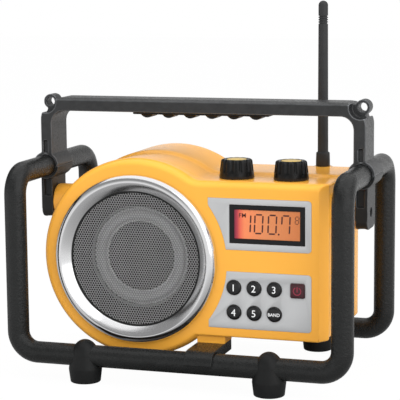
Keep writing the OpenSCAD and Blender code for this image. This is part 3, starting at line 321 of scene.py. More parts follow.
# ABS moulded against a polished tool: clear warm yellow, a smooth clear highlight
YELLOW_ABS = Finish(
    "moulded_abs_yellow", "#f0ac42", "#eca338", 0.2, grain_mm=2.2, bump_mm=0.0015,
    roughness_swing=0.02, tone_mm=70.0, tone=0.4, specular=0.27,
)
# ABS with satin chrome plate: a bright metal that blurs what it reflects into smooth bands
CHROME_PLATE = Finish(
    "plated_abs_satin_chrome", "#e9e9ea", "#dfe0e1", 0.15, metallic=1.0, grain=Grain.ROUND_Y,
    grain_mm=1.2, bump_mm=0.0015, roughness_swing=0.03, tone=0.2,
)
# Steel sheet, punched and sprayed: grey satin paint, pale between the dark holes
GRILLE_PAINT = Finish(
    "punched_steel_painted_grey", "#858585", "#767676", 0.5, metallic=0.1, grain_mm=0.6,
    bump_mm=0.01, tone_mm=18.0, tone=0.5,
)
# Polycarbonate overlay with silver ink behind it: fine metallic flake, soft sheen
SILVER_INK = Finish(
    "printed_polycarbonate_silver", "#bbbcbd", "#b2b3b4", 0.36, metallic=0.25, grain_mm=0.5,
    bump_mm=0.002, tone_mm=40.0, tone=0.4,
)
# Polished ABS of the keys: deep gloss black
KEY_GLOSS = Finish(
    "polished_abs_black", "#0c0c0e", "#08080a", 0.16, grain_mm=1.5, bump_mm=0.002,
    roughness_swing=0.02, tone_mm=8.0, tone=0.3,
)
# Tinted acrylic over the power key: deep red, almost black where it is thick
KEY_RED = Finish(
    "tinted_acrylic_dark_red", "#3a0f19", "#270a11", 0.2, grain_mm=1.5, bump_mm=0.002,
    roughness_swing=0.03, tone_mm=6.0, tone=0.4,
)
# Soft-touch ABS of the knobs: satin, with a little painted sheen on the flutes' sharp edges
KNOB_SATIN = Finish(
    "moulded_abs_satin_black", "#0c0d0e", "#08090a", 0.3, grain=Grain.CELLS, grain_mm=0.7,
    bump_mm=0.008, tone_mm=8.0, tone=0.4, edge=0.1, specular=0.2,
)
# Painted disc set in a knob: pale yellow with a dry sheen
DISC_PAINT = Finish(
    "painted_abs_pale_yellow", "#d6b765", "#c9a74f", 0.38, grain_mm=0.6, bump_mm=0.004,
    tone_mm=6.0, tone=0.4,
)
# Acrylic window, back-printed: black mirror-smooth border
WINDOW_GLOSS = Finish(
    "back_printed_acrylic_black", "#08080a", "#050506", 0.14, grain_mm=3.0, bump_mm=0.001,
    roughness_swing=0.02, tone=0.2, specular=0.3,
)
# Zinc-plated steel, turned and rolled: pale metal with fine turning marks
ZINC = Finish(
    "zinc_plated_steel", "#b9bcc0", "#a2a5aa", 0.3, metallic=1.0, grain_mm=0.4, bump_mm=0.004,
    tone_mm=3.0, tone=0.5,
)
# Open-cell polyurethane foam: black, no shine
FOAM = Finish(
    "open_cell_foam_black", "#0a0a0a", "#060606", 0.95, grain=Grain.CELLS, grain_mm=0.9,
    bump_mm=0.25, tone_mm=5.0, tone=0.6, specular=0.1,
)
# Pressed paper pulp of a speaker cone: fibrous dark grey
PAPER = Finish(
    "pressed_paper_dark_grey", "#1e1f20", "#161718", 0.8, grain_mm=0.7, bump_mm=0.05,
    tone_mm=5.0, tone=0.6, specular=0.2,
)
# Thin butyl rubber roll round the cone: pale grey, satin
BUTYL = Finish(
    "butyl_rubber_pale_grey", "#bdbdbd", "#b0b0b0", 0.45, grain_mm=0.8, bump_mm=0.02,
    tone_mm=8.0, tone=0.4,
)
# Printed ink of the key legends: opaque white
INK_WHITE = Finish(
    "screen_printed_ink_white", "#f2f3f3", "#e4e5e6", 0.5, grain_mm=0.3, bump_mm=0.002, tone=0.3
)
# Printed ink of the power symbol: wine red
INK_RED = Finish(
    "screen_printed_ink_red", "#8f2038", "#7e1a30", 0.45, grain_mm=0.3, bump_mm=0.002, tone=0.3
)
# Liquid crystal segments: dark red-brown against the lit film
SEGMENT_DARK = Finish(
    "liquid_crystal_dark", "#43150f", "#36110c", 0.4, grain_mm=0.5, bump_mm=0.001, tone=0.3
)
# Glass-fibre board with green solder mask
BOARD = Finish(
    "glass_fibre_board_green", "#1f6b3a", "#185a30", 0.35, grain=Grain.ALONG_X, grain_mm=0.5,
    bump_mm=0.01, tone_mm=4.0, tone=0.5, coat=0.3,
)
# Sintered ferrite of the magnet: dull charcoal
FERRITE = Finish(
    "sintered_ferrite_charcoal", "#3a3a3b", "#2c2c2d", 0.6, grain_mm=0.7, bump_mm=0.03, tone=0.5
)
# Enamelled copper wire of the voice coil: fine windings
COPPER = Finish(
    "enamelled_copper_wire", "#b9703c", "#9c5829", 0.3, metallic=1.0, grain=Grain.ALONG_X,
    grain_mm=0.4, bump_mm=0.02, tone=0.4,
)
# Turned brass of the aerial's socket
BRASS = Finish(
    "turned_brass", "#c2a25a", "#a98946", 0.28, metallic=1.0, grain_mm=0.4, bump_mm=0.004, tone=0.4
)
# Shrunk PVC sleeve of a battery cell
SLEEVE = Finish(
    "shrunk_pvc_sleeve_brown", "#5d3d27", "#4b2f1d", 0.3, grain_mm=1.0, bump_mm=0.003,
    tone_mm=12.0, tone=0.5, coat=0.3,
)


@dataclass(frozen=True)
class LitFilm:
    """The lit display film: crimson at its left edge, orange over the rest."""

    name: str = "backlit_film_orange"
    left_mm: float = 44.4
    width_mm: float = 56.2
    stops: tuple[tuple[float, str], ...] = (
        (0.0, "#6e1a30"), (0.045, "#a02c3c"), (0.09, "#cf5a42"), (0.16, "#dd7c4e"),
        (0.5, "#c97b4b"), (1.0, "#bb6c38"),
    )
    grain_scale: float = 900.0
    grain_share: float = 0.12
    glow: float = 0.22
    roughness: float = 0.3

    def material(self) -> bpy.types.Material:
        """Builds the film's material, which glows a little in its own colours.

        Returns:
            The material.
        """
        made = bpy.data.materials.new(self.name)
        made.use_nodes = True
        tree = made.node_tree
        coords = add_node(tree, "ShaderNodeTexCoord").outputs["Object"]
        apart = add_node(tree, "ShaderNodeSeparateXYZ", None, {"Vector": coords})
        span = (self.left_mm * MM, (self.left_mm + self.width_mm) * MM)
        across = remap(tree, apart.outputs["X"], span)
        ramp = add_node(tree, "ShaderNodeValToRGB", None, {"Fac": across})
        marks = ramp.color_ramp.elements
        for place, colour in self.stops[1:-1]:
            marks.new(place).color = linear(colour)
        marks[0].color = linear(self.stops[0][1])
        marks[-1].color = linear(self.stops[-1][1])
        fine = {"Vector": coords, "Scale": self.grain_scale, "Detail": 2.0}
        grain = add_node(tree, "ShaderNodeTexNoise", None, fine).outputs["Color"]
        lit = mixed(tree, self.grain_share, ramp.outputs["Color"], grain, "MULTIPLY")
        shader = tree.nodes["Principled BSDF"]
        tree.links.new(lit, shader.inputs["Base Color"])
        tree.links.new(lit, shader.inputs["Emission Color"])
        shader.inputs["Emission Strength"].default_value = self.glow
        shader.inputs["Roughness"].default_value = self.roughness
        return made


# ---- Meshes ----


class Axis(Enum):
    """The axis that a turned shape is spun about."""

    X = 0
    Y = 1
    Z = 2

    def point(self, centre: Sequence[float], radius: float, along: float, turn: float) -> Vector:
        """A point at a radius and angle about the axis, and at a place along it.

        Args:
            centre: a point on the axis, in millimetres; its own coordinate along it isn't used.
            radius: distance from the axis.
            along: coordinate along the axis.
            turn: angle in radians.

        Returns:
            The point, in millimetres.
        """
        a, b = radius * math.cos(turn), radius * math.sin(turn)
        if self is Axis.X:
            return Vector((along, centre[1] + a, centre[2] + b))
        if self is Axis.Y:
            return Vector((centre[0] + a, along, centre[2] + b))
        return Vector((centre[0] + a, centre[1] + b, along))


class Draft:
    """Points and faces of one mesh, in millimetres."""

    def __init__(self) -> None:
        """Starts with nothing drawn."""
        self.points: list[Vector] = []
        self.faces: list[list[int]] = []

    def rings(
        self, rows: Sequence[Sequence[Vector]], loop: bool = False, cap: bool = False
    ) -> Draft:
        """Skins a row of closed rings that have as many points each.

        Args:
            rows: the rings, in order.
            loop: joins the last ring to the first.
            cap: closes the first and the last ring with one face each.

        Returns:
            This draft.
        """
        start, count, width = len(self.points), len(rows), len(rows[0])
        for row in rows:
            self.points.extend(Vector(p) for p in row)
        for i in range(count if loop else count - 1):
            here, there = start + i * width, start + ((i + 1) % count) * width
            for k in range(width):
                n = (k + 1) % width
                self.faces.append([here + k, here + n, there + n, there + k])
        if cap:
            self.faces.append([start + k for k in reversed(range(width))])
            self.faces.append([start + (count - 1) * width + k for k in range(width)])
        return self

    def spin(
        self,
        axis: Axis,
        centre: Sequence[float],
        profile: Sequence[Pair],
        steps: int = 96,
        loop: bool = False,
    ) -> Draft:
        """Turns an outline of (radius, along) pairs about an axis.

        Args:
            axis: the axis.
            centre: a point on it, in millimetres.
            profile: the outline; a radius of 0 makes a closed pole.
            steps: number of sides.
            loop: joins the outline's end to its start.

        Returns:
            This draft.
        """
        turns = [2 * math.pi * k / steps for k in range(steps)]
        rows = [[axis.point(centre, r, a, t) for t in turns] for r, a in profile]
        return self.rings(rows, loop)

    def slab(self, outline: Sequence[Pair], y0: float, y1: float) -> Draft:
        """Extrudes an outline in X and Z between two depths."""
        rows = [[Vector((x, y, z)) for x, z in outline] for y in (y0, y1)]
        return self.rings(rows, cap=True)

    def build(
        self, name: str, finish: bpy.types.Material | None = None, sharp: float = 32.0
    ) -> bpy.types.Object:
        """Makes the object, in metres, merged and with its faces outwards.

        Args:
            name: the piece's name.
            finish: its material.
            sharp: angle in degrees above which an edge is drawn sharp.

        Returns:
            The object.
        """
        mesh = bpy.data.meshes.new(name)
        mesh.from_pydata([p * MM for p in self.points], [], self.faces)
        made = add_object(name, mesh)
        tidy(made, sharp)
        if finish is not None:
            mesh.materials.append(finish)
        return made


def tidy(piece: bpy.types.Object, sharp: float, merge_mm: float = 0.001) -> bpy.types.Object:
    """Merges doubled points, turns the faces outwards and sets smooth shading.

    Args:
        piece: the object.
        sharp: angle in degrees above which an edge is drawn sharp.
        merge_mm: how close points are merged.

    Returns:
        The same object.
    """
    drawn = bmesh.new()
    drawn.from_mesh(piece.data)
    bmesh.ops.remove_doubles(drawn, verts=drawn.verts, dist=merge_mm * MM)
    bmesh.ops.recalc_face_normals(drawn, faces=drawn.faces)
    drawn.to_mesh(piece.data)
    drawn.free()
    shade(piece, sharp)
    return piece


def shade(piece: bpy.types.Object, sharp: float) -> bpy.types.Object:
    """Sets smooth shading, with sharp edges above an angle.

    Args:
        piece: the object.
        sharp: the angle in degrees.

    Returns:
        The same object.
    """
    piece.data.shade_smooth()
    piece.data.set_sharp_from_angle(angle=math.radians(sharp))
    return piece


def bake(piece: bpy.types.Object) -> bpy.types.Object:
    """Turns an object's modifiers into plain mesh.

    Args:
        piece: the object.

    Returns:
        The same object.
    """
    graph = bpy.context.evaluated_depsgraph_get()
    mesh = bpy.data.meshes.new_from_object(piece.evaluated_get(graph))
    piece.modifiers.clear()
    piece.data = mesh
    mesh.name = piece.name
    return piece


def gather(piece: bpy.types.Object, others: Iterable[bpy.types.Object]) -> bpy.types.Object:
    """Adds other objects' meshes to a piece, as loose islands, and removes those objects.

    Args:
        piece: the piece that stays.
        others: the objects that are used up.

    Returns:
        The piece.
    """
    drawn = bmesh.new()
    drawn.from_mesh(piece.data)
    for other in others:
        drawn.from_mesh(other.data)
        bpy.data.objects.remove(other)
    drawn.to_mesh(piece.data)
    drawn.free()
    return piece


def carve(target: bpy.types.Object, shapes: Iterable[bpy.types.Object]) -> bpy.types.Object:
    """Cuts closed shapes out of a closed shape.

    Args:
        target: the shape that stays.
        shapes: the shapes that are used up.

    Returns:
        The target.
    """
    for shape in shapes:
        cut = target.modifiers.new("cut", "BOOLEAN")
        cut.operation = "DIFFERENCE"
        cut.solver = "EXACT"
        cut.object = shape
        bake(target)
        bpy.data.objects.remove(shape)
    return target


def run_nodes(
    piece: bpy.types.Object, tree: bpy.types.NodeTree, values: dict[str, object]
) -> bpy.types.Object:
    """Runs a geometry tree on an object and keeps the plain mesh.

    Args:
        piece: the object that carries the tree's input.
        tree: the geometry tree.
        values: by the name of an input of the tree, its value.

    Returns:
        The object, without the modifier.
    """
    added = piece.modifiers.new(tree.name, "NODES")
    added.node_group = tree
    for item in tree.interface.items_tree:
        if item.item_type == "SOCKET" and item.in_out == "INPUT" and item.name in values:
            added[item.identifier] = values[item.name]
    return bake(piece)


def start_tree(name: str, inputs: dict[str, str]) -> tuple[bpy.types.NodeTree, bpy.types.Node]:
    """Starts a geometry tree with its named inputs.

    Args:
        name: the tree's name.
        inputs: by name, the socket type after NodeSocket.

    Returns:
        The tree and its input node.
    """
    tree = bpy.data.node_groups.new(name, "GeometryNodeTree")
    for label, kind in {"Geometry": "Geometry", **inputs}.items():
        tree.interface.new_socket(label, in_out="INPUT", socket_type="NodeSocket" + kind)
    tree.interface.new_socket("Geometry", in_out="OUTPUT", socket_type="NodeSocketGeometry")
    return tree, add_node(tree, "NodeGroupInput")


def end_tree(
    tree: bpy.types.NodeTree, result: bpy.types.NodeSocket, material: bpy.types.NodeSocket
) -> bpy.types.NodeTree:
    """Ends a geometry tree: realises instances, sets the material and puts the mesh out.

    Args:
        tree: the tree.
        result: its finished geometry.
        material: the socket that brings the material.

    Returns:
        The tree.
    """
    real = add_node(tree, "GeometryNodeRealizeInstances", None, {0: result})
    dressed = add_node(
        tree, "GeometryNodeSetMaterial", None, {"Geometry": real.outputs[0], "Material": material}
    )
    add_node(tree, "NodeGroupOutput", None, {0: dressed.outputs[0]})
    return tree


def arc(cx: float, cz: float, radius: float, start: float, end: float, steps: int) -> Outline:
    """Points of an arc in X and Z between two angles in degrees, both ends included."""
    turns = [math.radians(start + (end - start) * k / steps) for k in range(steps + 1)]
    return [(cx + radius * math.cos(t), cz + radius * math.sin(t)) for t in turns]


def circle(cx: float, cz: float, radius: float, sides: int) -> Outline:
    """Points of a whole circle in X and Z."""
    return arc(cx, cz, radius, 0, 360 - 360 / sides, sides - 1)


def bow(u: float, v: float, wide: float, high: float, angles: Iterable[float]) -> Outline:
    """Points of an oval's arc at some angles in degrees; a negative height turns it over."""
    turns = [math.radians(a) for a in angles]
    return [(u + wide * math.cos(t), v + high * math.sin(t)) for t in turns]


def rounded_rectangle(
    x0: float, x1: float, z0: float, z1: float, radius: float, steps: int = 6
) -> Outline:
    """Outline of a rectangle with round corners, in X and Z."""
    corners = [
        (x1 - radius, z1 - radius, 0), (x0 + radius, z1 - radius, 90),
        (x0 + radius, z0 + radius, 180), (x1 - radius, z0 + radius, 270),
    ]
    return [p for cx, cz, a in corners for p in arc(cx, cz, radius, a, a + 90, steps)]


def cutter(
    outline: Sequence[Pair], y0: float = FACE_CUT[0], y1: float = FACE_CUT[1]
) -> bpy.types.Object:
    """A closed shape to cut with, straight along Y, by default through the housing's face."""
    return Draft().slab(outline, y0, y1).build("cutter")


def text_mesh(
    name: str,
    words: str,
    size: float,
    centre: Sequence[float],
    finish: bpy.types.Material,
    weight: float = 0.0,
) -> bpy.types.Object:
    """Flat lettering that faces the front, centred on a point.

    Args:
        name: the piece's name.
        words: the text.
        size: letter size in millimetres.
        centre: the middle of the text, in millimetres.
        finish: its material.
        weight: how much the strokes are thickened on each side, in millimetres.

    Returns:
        The mesh object.
    """
    curve = bpy.data.curves.new(name, "FONT")
    curve.body = words
    curve.size = size * MM
    curve.align_x = "CENTER"
    curve.align_y = "CENTER"
    curve.extrude = 0.02 * MM
    curve.offset = weight * MM
    curve.resolution_u = 6
    holder = add_object(name + "_curve", curve)
    graph = bpy.context.evaluated_depsgraph_get()
    mesh = bpy.data.meshes.new_from_object(holder.evaluated_get(graph))
    bpy.data.objects.remove(holder)
    mesh.name = name
    xs = [v.co.x for v in mesh.vertices]
    ys = [v.co.y for v in mesh.vertices]
    middle = Vector(((min(xs) + max(xs)) / 2, (min(ys) + max(ys)) / 2, 0.0))
    place = Matrix.Translation(Vector(centre) * MM) @ Matrix.Rotation(math.pi / 2, 4, "X")
    mesh.transform(place @ Matrix.Translation(-middle))
    mesh.materials.clear()
    mesh.materials.append(finish)
    made = add_object(name, mesh)
    return made


def settle(
    piece: bpy.types.Object, body: str, replaces: Sequence[str] = ()
) -> bpy.types.Object:
    """Rides a piece on its body and hides the solids that it stands for.

    Args:
        piece: the piece.
        body: the body that carries it.
        replaces: the solids' node names.

    Returns:
        The piece.
    """
    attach(piece, body)
    if replaces:
        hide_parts(*replaces)
    LOG.info("%s: %d faces, on %s", piece.name, len(piece.data.polygons), body)
    return piece


class Solids:
    """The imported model's solids, to be dressed or copied."""

    def __init__(self, nodes: dict[str, bpy.types.Object]) -> None:
        """Keeps the solids by name."""
        self.nodes = nodes

    def dress(self, finish: Finish, *names: str) -> None:
        """Gives shown solids a finish.

        Args:
            finish: the finish.
            names: the solids' names.
        """
        for name in names:
            solid = self.nodes[name]
            solid.data.materials.clear()
            solid.data.materials.append(finish.material())

    def moulded(
        self,
        node: str,
        name: str,
        finish: Finish,
        voxel_mm: float,
        relax: int = 5,
        keep: float = 0.35,
    ) -> bpy.types.Object:
        """A copy of a solid with every edge and inside corner rounded, as from a mould.

        Args:
            node: the solid.
            name: the new piece.
            finish: its finish.
            voxel_mm: size of the mesh cells, about half the radius of the rounding.
            relax: number of smoothing passes.
            keep: share of the faces that stays.

        Returns:
            The new piece.
        """
        mesh = self.nodes[node].data.copy()
        mesh.name = name
        mesh.materials.clear()
        made = add_object(name, mesh)
        tidy(made, 30.0, 0.01)
        cells = made.modifiers.new("cells", "REMESH")
        cells.mode = "VOXEL"
        cells.voxel_size = voxel_mm * MM
        cells.use_smooth_shade = True
        soft = made.modifiers.new("soft", "SMOOTH")
        soft.factor = 0.5
        soft.iterations = relax
        fewer = made.modifiers.new("fewer", "DECIMATE")
        fewer.ratio = keep
        bake(made)
        made.data.shade_smooth()
        made.data.materials.clear()
        made.data.materials.append(finish.material())
        return made


# ---- Screws ----

# Shares of the head: how much of its height is crowned, how long and deep its cross recess is
HEAD_CROWN = 0.45
RECESS_ARM = 0.55
RECESS_DEPTH = 0.6
# Half the width of a recess's arm, in millimetres
RECESS_HALF = 0.35


@dataclass
class ScrewSet:
    """Pan-head screws with a cross recess, set at several places by one tree."""

    node: str
    body: str
    places: list[tuple[float, float, float]]
    aims: list[tuple[float, float, float]]
    head_r: float
    head_h: float
    shank_r: float
    shank_len: float

    @staticmethod
    def tree() -> bpy.types.NodeTree:
        """Builds, or finds, the tree that sets one screw on every point.

        Returns:
            The tree.
        """
        found = bpy.data.node_groups.get("screws_on_points")
        if found is not None:
            return found
        tree, given = start_tree("screws_on_points", {"Screw": "Object", "Finish": "Material"})
        aim = add_node(
            tree, "GeometryNodeInputNamedAttribute", {"data_type": "FLOAT_VECTOR"}, {"Name": "aim"}
        )
        turned = add_node(
            tree, "FunctionNodeAlignRotationToVector", {"axis": "Z"}, {"Vector": aim.outputs[0]}
        )
        screw = add_node(tree, "GeometryNodeObjectInfo", None, {"Object": given.outputs["Screw"]})
        placed = add_node(
            tree,
            "GeometryNodeInstanceOnPoints",
            None,
            {
                "Points": given.outputs["Geometry"],
                "Instance": screw.outputs["Geometry"],
                "Rotation": turned.outputs[0],
            },
        )
        return end_tree(tree, placed.outputs[0], given.outputs["Finish"])

    def pattern(self) -> bpy.types.Object:
        """Makes one screw at the origin: its head's seat at 0 and its shank along +Z.

        Returns:
            The screw.
        """
        r, h, end = self.head_r, self.head_h, self.shank_len
        crown = bow(0.0, h * (HEAD_CROWN - 1), r, -h * HEAD_CROWN, range(90, -1, -15))
        outline = crown + [(r, 0.0), (self.shank_r, 0.0), (self.shank_r, end), (0.0, end)]
        made = Draft().spin(Axis.Z, (0, 0, 0), outline, 24).build(self.node + "_pattern")
        arm = r * RECESS_ARM
        bars = []
        for a, b in ((arm, RECESS_HALF), (RECESS_HALF, arm)):
            cross = ((-a, -b), (a, -b), (a, b), (-a, b))
            ends = (-h - 1.0, -h * (1 - RECESS_DEPTH))
            rows = [[Vector((x, y, z)) for x, y in cross] for z in ends]
            bars.append(Draft().rings(rows, cap=True).build("recess"))
        return tidy(carve(made, bars), 30.0)

    def build(self) -> bpy.types.Object:
        """Sets the screws and stands in for their solids.

        Returns:
            The piece.
        """
        mesh = bpy.data.meshes.new(self.node + "_heads")
        mesh.from_pydata([Vector(p) * MM for p in self.places], [], [])
        aim = mesh.attributes.new("aim", "FLOAT_VECTOR", "POINT")
        for spot, way in zip(aim.data, self.aims):
            spot.vector = way
        piece = add_object(self.node + "_heads", mesh)
        screw = self.pattern()
        run_nodes(piece, self.tree(), {"Screw": screw, "Finish": ZINC.material()})
        bpy.data.objects.remove(screw)
        return settle(shade(piece, 30.0), self.body, [self.node])


# ---- Roll cage ----


@dataclass
class RollCage:
    """Bent tube in one closed run, four rubber feet and two saddles."""

    rail_x: float = 141.75
    rail_y: float = 82.0
    tube_r: float = 9.25
    bend_r: float = 17.75
    low_z: float = 22.25
    high_z: float = 174.3
    foot_x: float = 80.7
    foot_wide_r: float = 14.1
    foot_flare_z: float = 12.0
    foot_skin: float = 2.25
    foot_cover: float = 4.7
    foot_round: float = 1.2
    foot_step: float = 0.8
    foot_taper: float = 0.12
    foot_screw_z: float = 5.0
    pocket_r: float = 3.8
    pocket_bevel: Pair = (0.5, 0.4)
    saddle_screw: tuple[float, float, float] = (22.55, 45.5, 27.5)

    @staticmethod
    def tree() -> bpy.types.NodeTree:
        """Builds the tree that rounds a closed run's corners and sweeps a tube along it.

        Returns:
            The tree.
        """
        tree, given = start_tree(
            "bent_tube", {"Tube radius": "Float", "Bend radius": "Float", "Finish": "Material"}
        )
        run = add_node(tree, "GeometryNodeMeshToCurve", None, {"Mesh": given.outputs["Geometry"]})
        bent = add_node(
            tree,
            "GeometryNodeFilletCurve",
            {"mode": "POLY"},
            {"Curve": run.outputs[0], "Count": 14, "Radius": given.outputs["Bend radius"]},
        )
        ring = add_node(
            tree,
            "GeometryNodeCurvePrimitiveCircle",
            {"mode": "RADIUS"},
            {"Resolution": 40, "Radius": given.outputs["Tube radius"]},
        )
        tube = add_node(
            tree,
            "GeometryNodeCurveToMesh",
            None,
            {"Curve": bent.outputs[0], "Profile Curve": ring.outputs[0]},
        )
        return end_tree(tree, tube.outputs[0], given.outputs["Finish"])

    def tube(self) -> bpy.types.Object:
        """Makes the cage in one run: front U, side rail, rear U and the other side rail.

        Returns:
            The piece.
        """
        x, y, low, high = self.rail_x, self.rail_y, self.low_z, self.high_z
        corners = [
            (-x, -y, low), (x, -y, low), (x, -y, high), (x, y, high),
            (x, y, low), (-x, y, low), (-x, y, high), (-x, -y, high),
        ]
        mesh = bpy.data.meshes.new("cage_tube")
        edges = [(i, (i + 1) % len(corners)) for i in range(len(corners))]
        mesh.from_pydata([Vector(c) * MM for c in corners], edges, [])
        values = {
            "Tube radius": self.tube_r * MM,
            "Bend radius": self.bend_r * MM,
            "Finish": POWDER_COAT.material(),
        }
        piece = run_nodes(add_object("cage_tube", mesh), self.tree(), values)
        return settle(tidy(piece, 60.0), ROOT_BODY, ["cage_frame"])

    def foot(self, name: str, sx: int, sy: int) -> bpy.types.Object:
        """Makes one bell-shaped foot.

        Args:
            name: the solid that it stands for.
            sx: side, -1 for left.
            sy: end, -1 for front.

        Returns:
            The piece.
        """
        wide, flare, r = self.foot_wide_r, self.foot_flare_z, self.foot_round
        out, up = self.pocket_bevel
        pocket = [(0.0, self.foot_screw_z), (self.pocket_r, self.foot_screw_z)]
        pocket += [(self.pocket_r, up), (self.pocket_r + out, 0.0)]
        edge = bow(wide - 2 * r, r, r, r, range(-90, 1, 15))
        cone = [(wide, flare - self.foot_step), (wide - self.foot_taper, flare + self.foot_step)]
        top_r, top_h = self.tube_r + self.foot_skin, self.tube_r + self.foot_cover
        dome = bow(0.0, self.low_z, top_r, top_h, range(0, 91, 6))
        centre = (sx * self.foot_x, sy * self.rail_y, 0.0)
        made = Draft().spin(Axis.Z, centre, pocket + edge + cone + dome, 72)
        piece = made.build(name + "_bell", RUBBER.material(), 40.0)
        return settle(piece, ROOT_BODY, [name])

    def build(self, solids: Solids) -> None:
        """Makes the cage, its feet, saddles and screws.

        Args:
            solids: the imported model's solids.
        """
        self.tube()
        for sy, end in ((-1, "front"), (1, "rear")):
            for sx, side in ((-1, "left"), (1, "right")):
                self.foot(f"foot_{end}_{side}", sx, sy)
            saddle = solids.moulded(f"{end}_saddle", f"{end}_saddle_block", POWDER_COAT, 0.5)
            settle(saddle, ROOT_BODY, [f"{end}_saddle"])
        corners = [
            (sx * self.foot_x, sy * self.rail_y, self.foot_screw_z)
            for sx in (-1, 1) for sy in (-1, 1)
        ]
        x, y, z = self.saddle_screw
        ScrewSet(
            "foot_screws", ROOT_BODY, corners, [UP] * 4,
            head_r=3.4, head_h=2.4, shank_r=1.5, shank_len=10.6,
        ).build()
        ScrewSet(
            "saddle_screws", ROOT_BODY, [(x, -y, z), (x, y, z)], [UP] * 2,
            head_r=3.8, head_h=2.6, shank_r=2.0, shank_len=12.5,
        ).build()


# ---- Handle ----


@dataclass
class CarryHandle:
    """Moulded arch, soft grip and the two side brackets."""

    rail_x: float = 141.75
    screw_y: float = 8.6
    screw_seat_z: float = 160.05
    boss_z: float = 141.5
    head_seat_x: float = 141.0

    def build(self, solids: Solids) -> None:
        """Makes the handle, grip, brackets and their screws.

        Args:
            solids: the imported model's solids.
        """
        arch = solids.moulded("handle", "handle_arch", WORN_NYLON, 0.6, relax=3, keep=0.4)
        settle(arch, ROOT_BODY, ["handle"])
        grip = solids.moulded("grip_pad", "grip_cushion", RUBBER, 0.5, relax=4, keep=0.4)
        settle(grip, ROOT_BODY, ["grip_pad"])
        for side in ("left", "right"):
            node = f"{side}_bracket"
            plate = solids.moulded(node, node + "_plate", NYLON, 0.5, relax=4, keep=0.4)
            settle(plate, ROOT_BODY, [node])
        seats = [
            (sx * self.rail_x, sy * self.screw_y, self.screw_seat_z)
            for sx in (-1, 1) for sy in (-1, 1)
        ]
        ScrewSet(
            "handle_screws", ROOT_BODY, seats, [UP] * 4,
            head_r=2.9, head_h=2.4, shank_r=1.5, shank_len=31.5,
        ).build()
        ends = [(s * self.head_seat_x, 0.0, self.boss_z) for s in (-1, 1)]
        ScrewSet(
            "bracket_screws", ROOT_BODY, ends, [(1, 0, 0), (-1, 0, 0)],
            head_r=4.1, head_h=3.0, shank_r=1.7, shank_len=16.5,
        ).build()


# ---- Housing ----

# Column that carries the aerial: radius and height of its profile, with a rounded collar
AERIAL_COLUMN = (
    (0.0, 133.0), (4.0, 133.0), (9.0, 141.0), (9.0, 170.9), (8.5, 171.6), (7.9, 171.8),
    (7.3, 171.4), (6.6, 171.3), (4.1, 171.3), (4.1, 156.0), (0.0, 156.0),
)


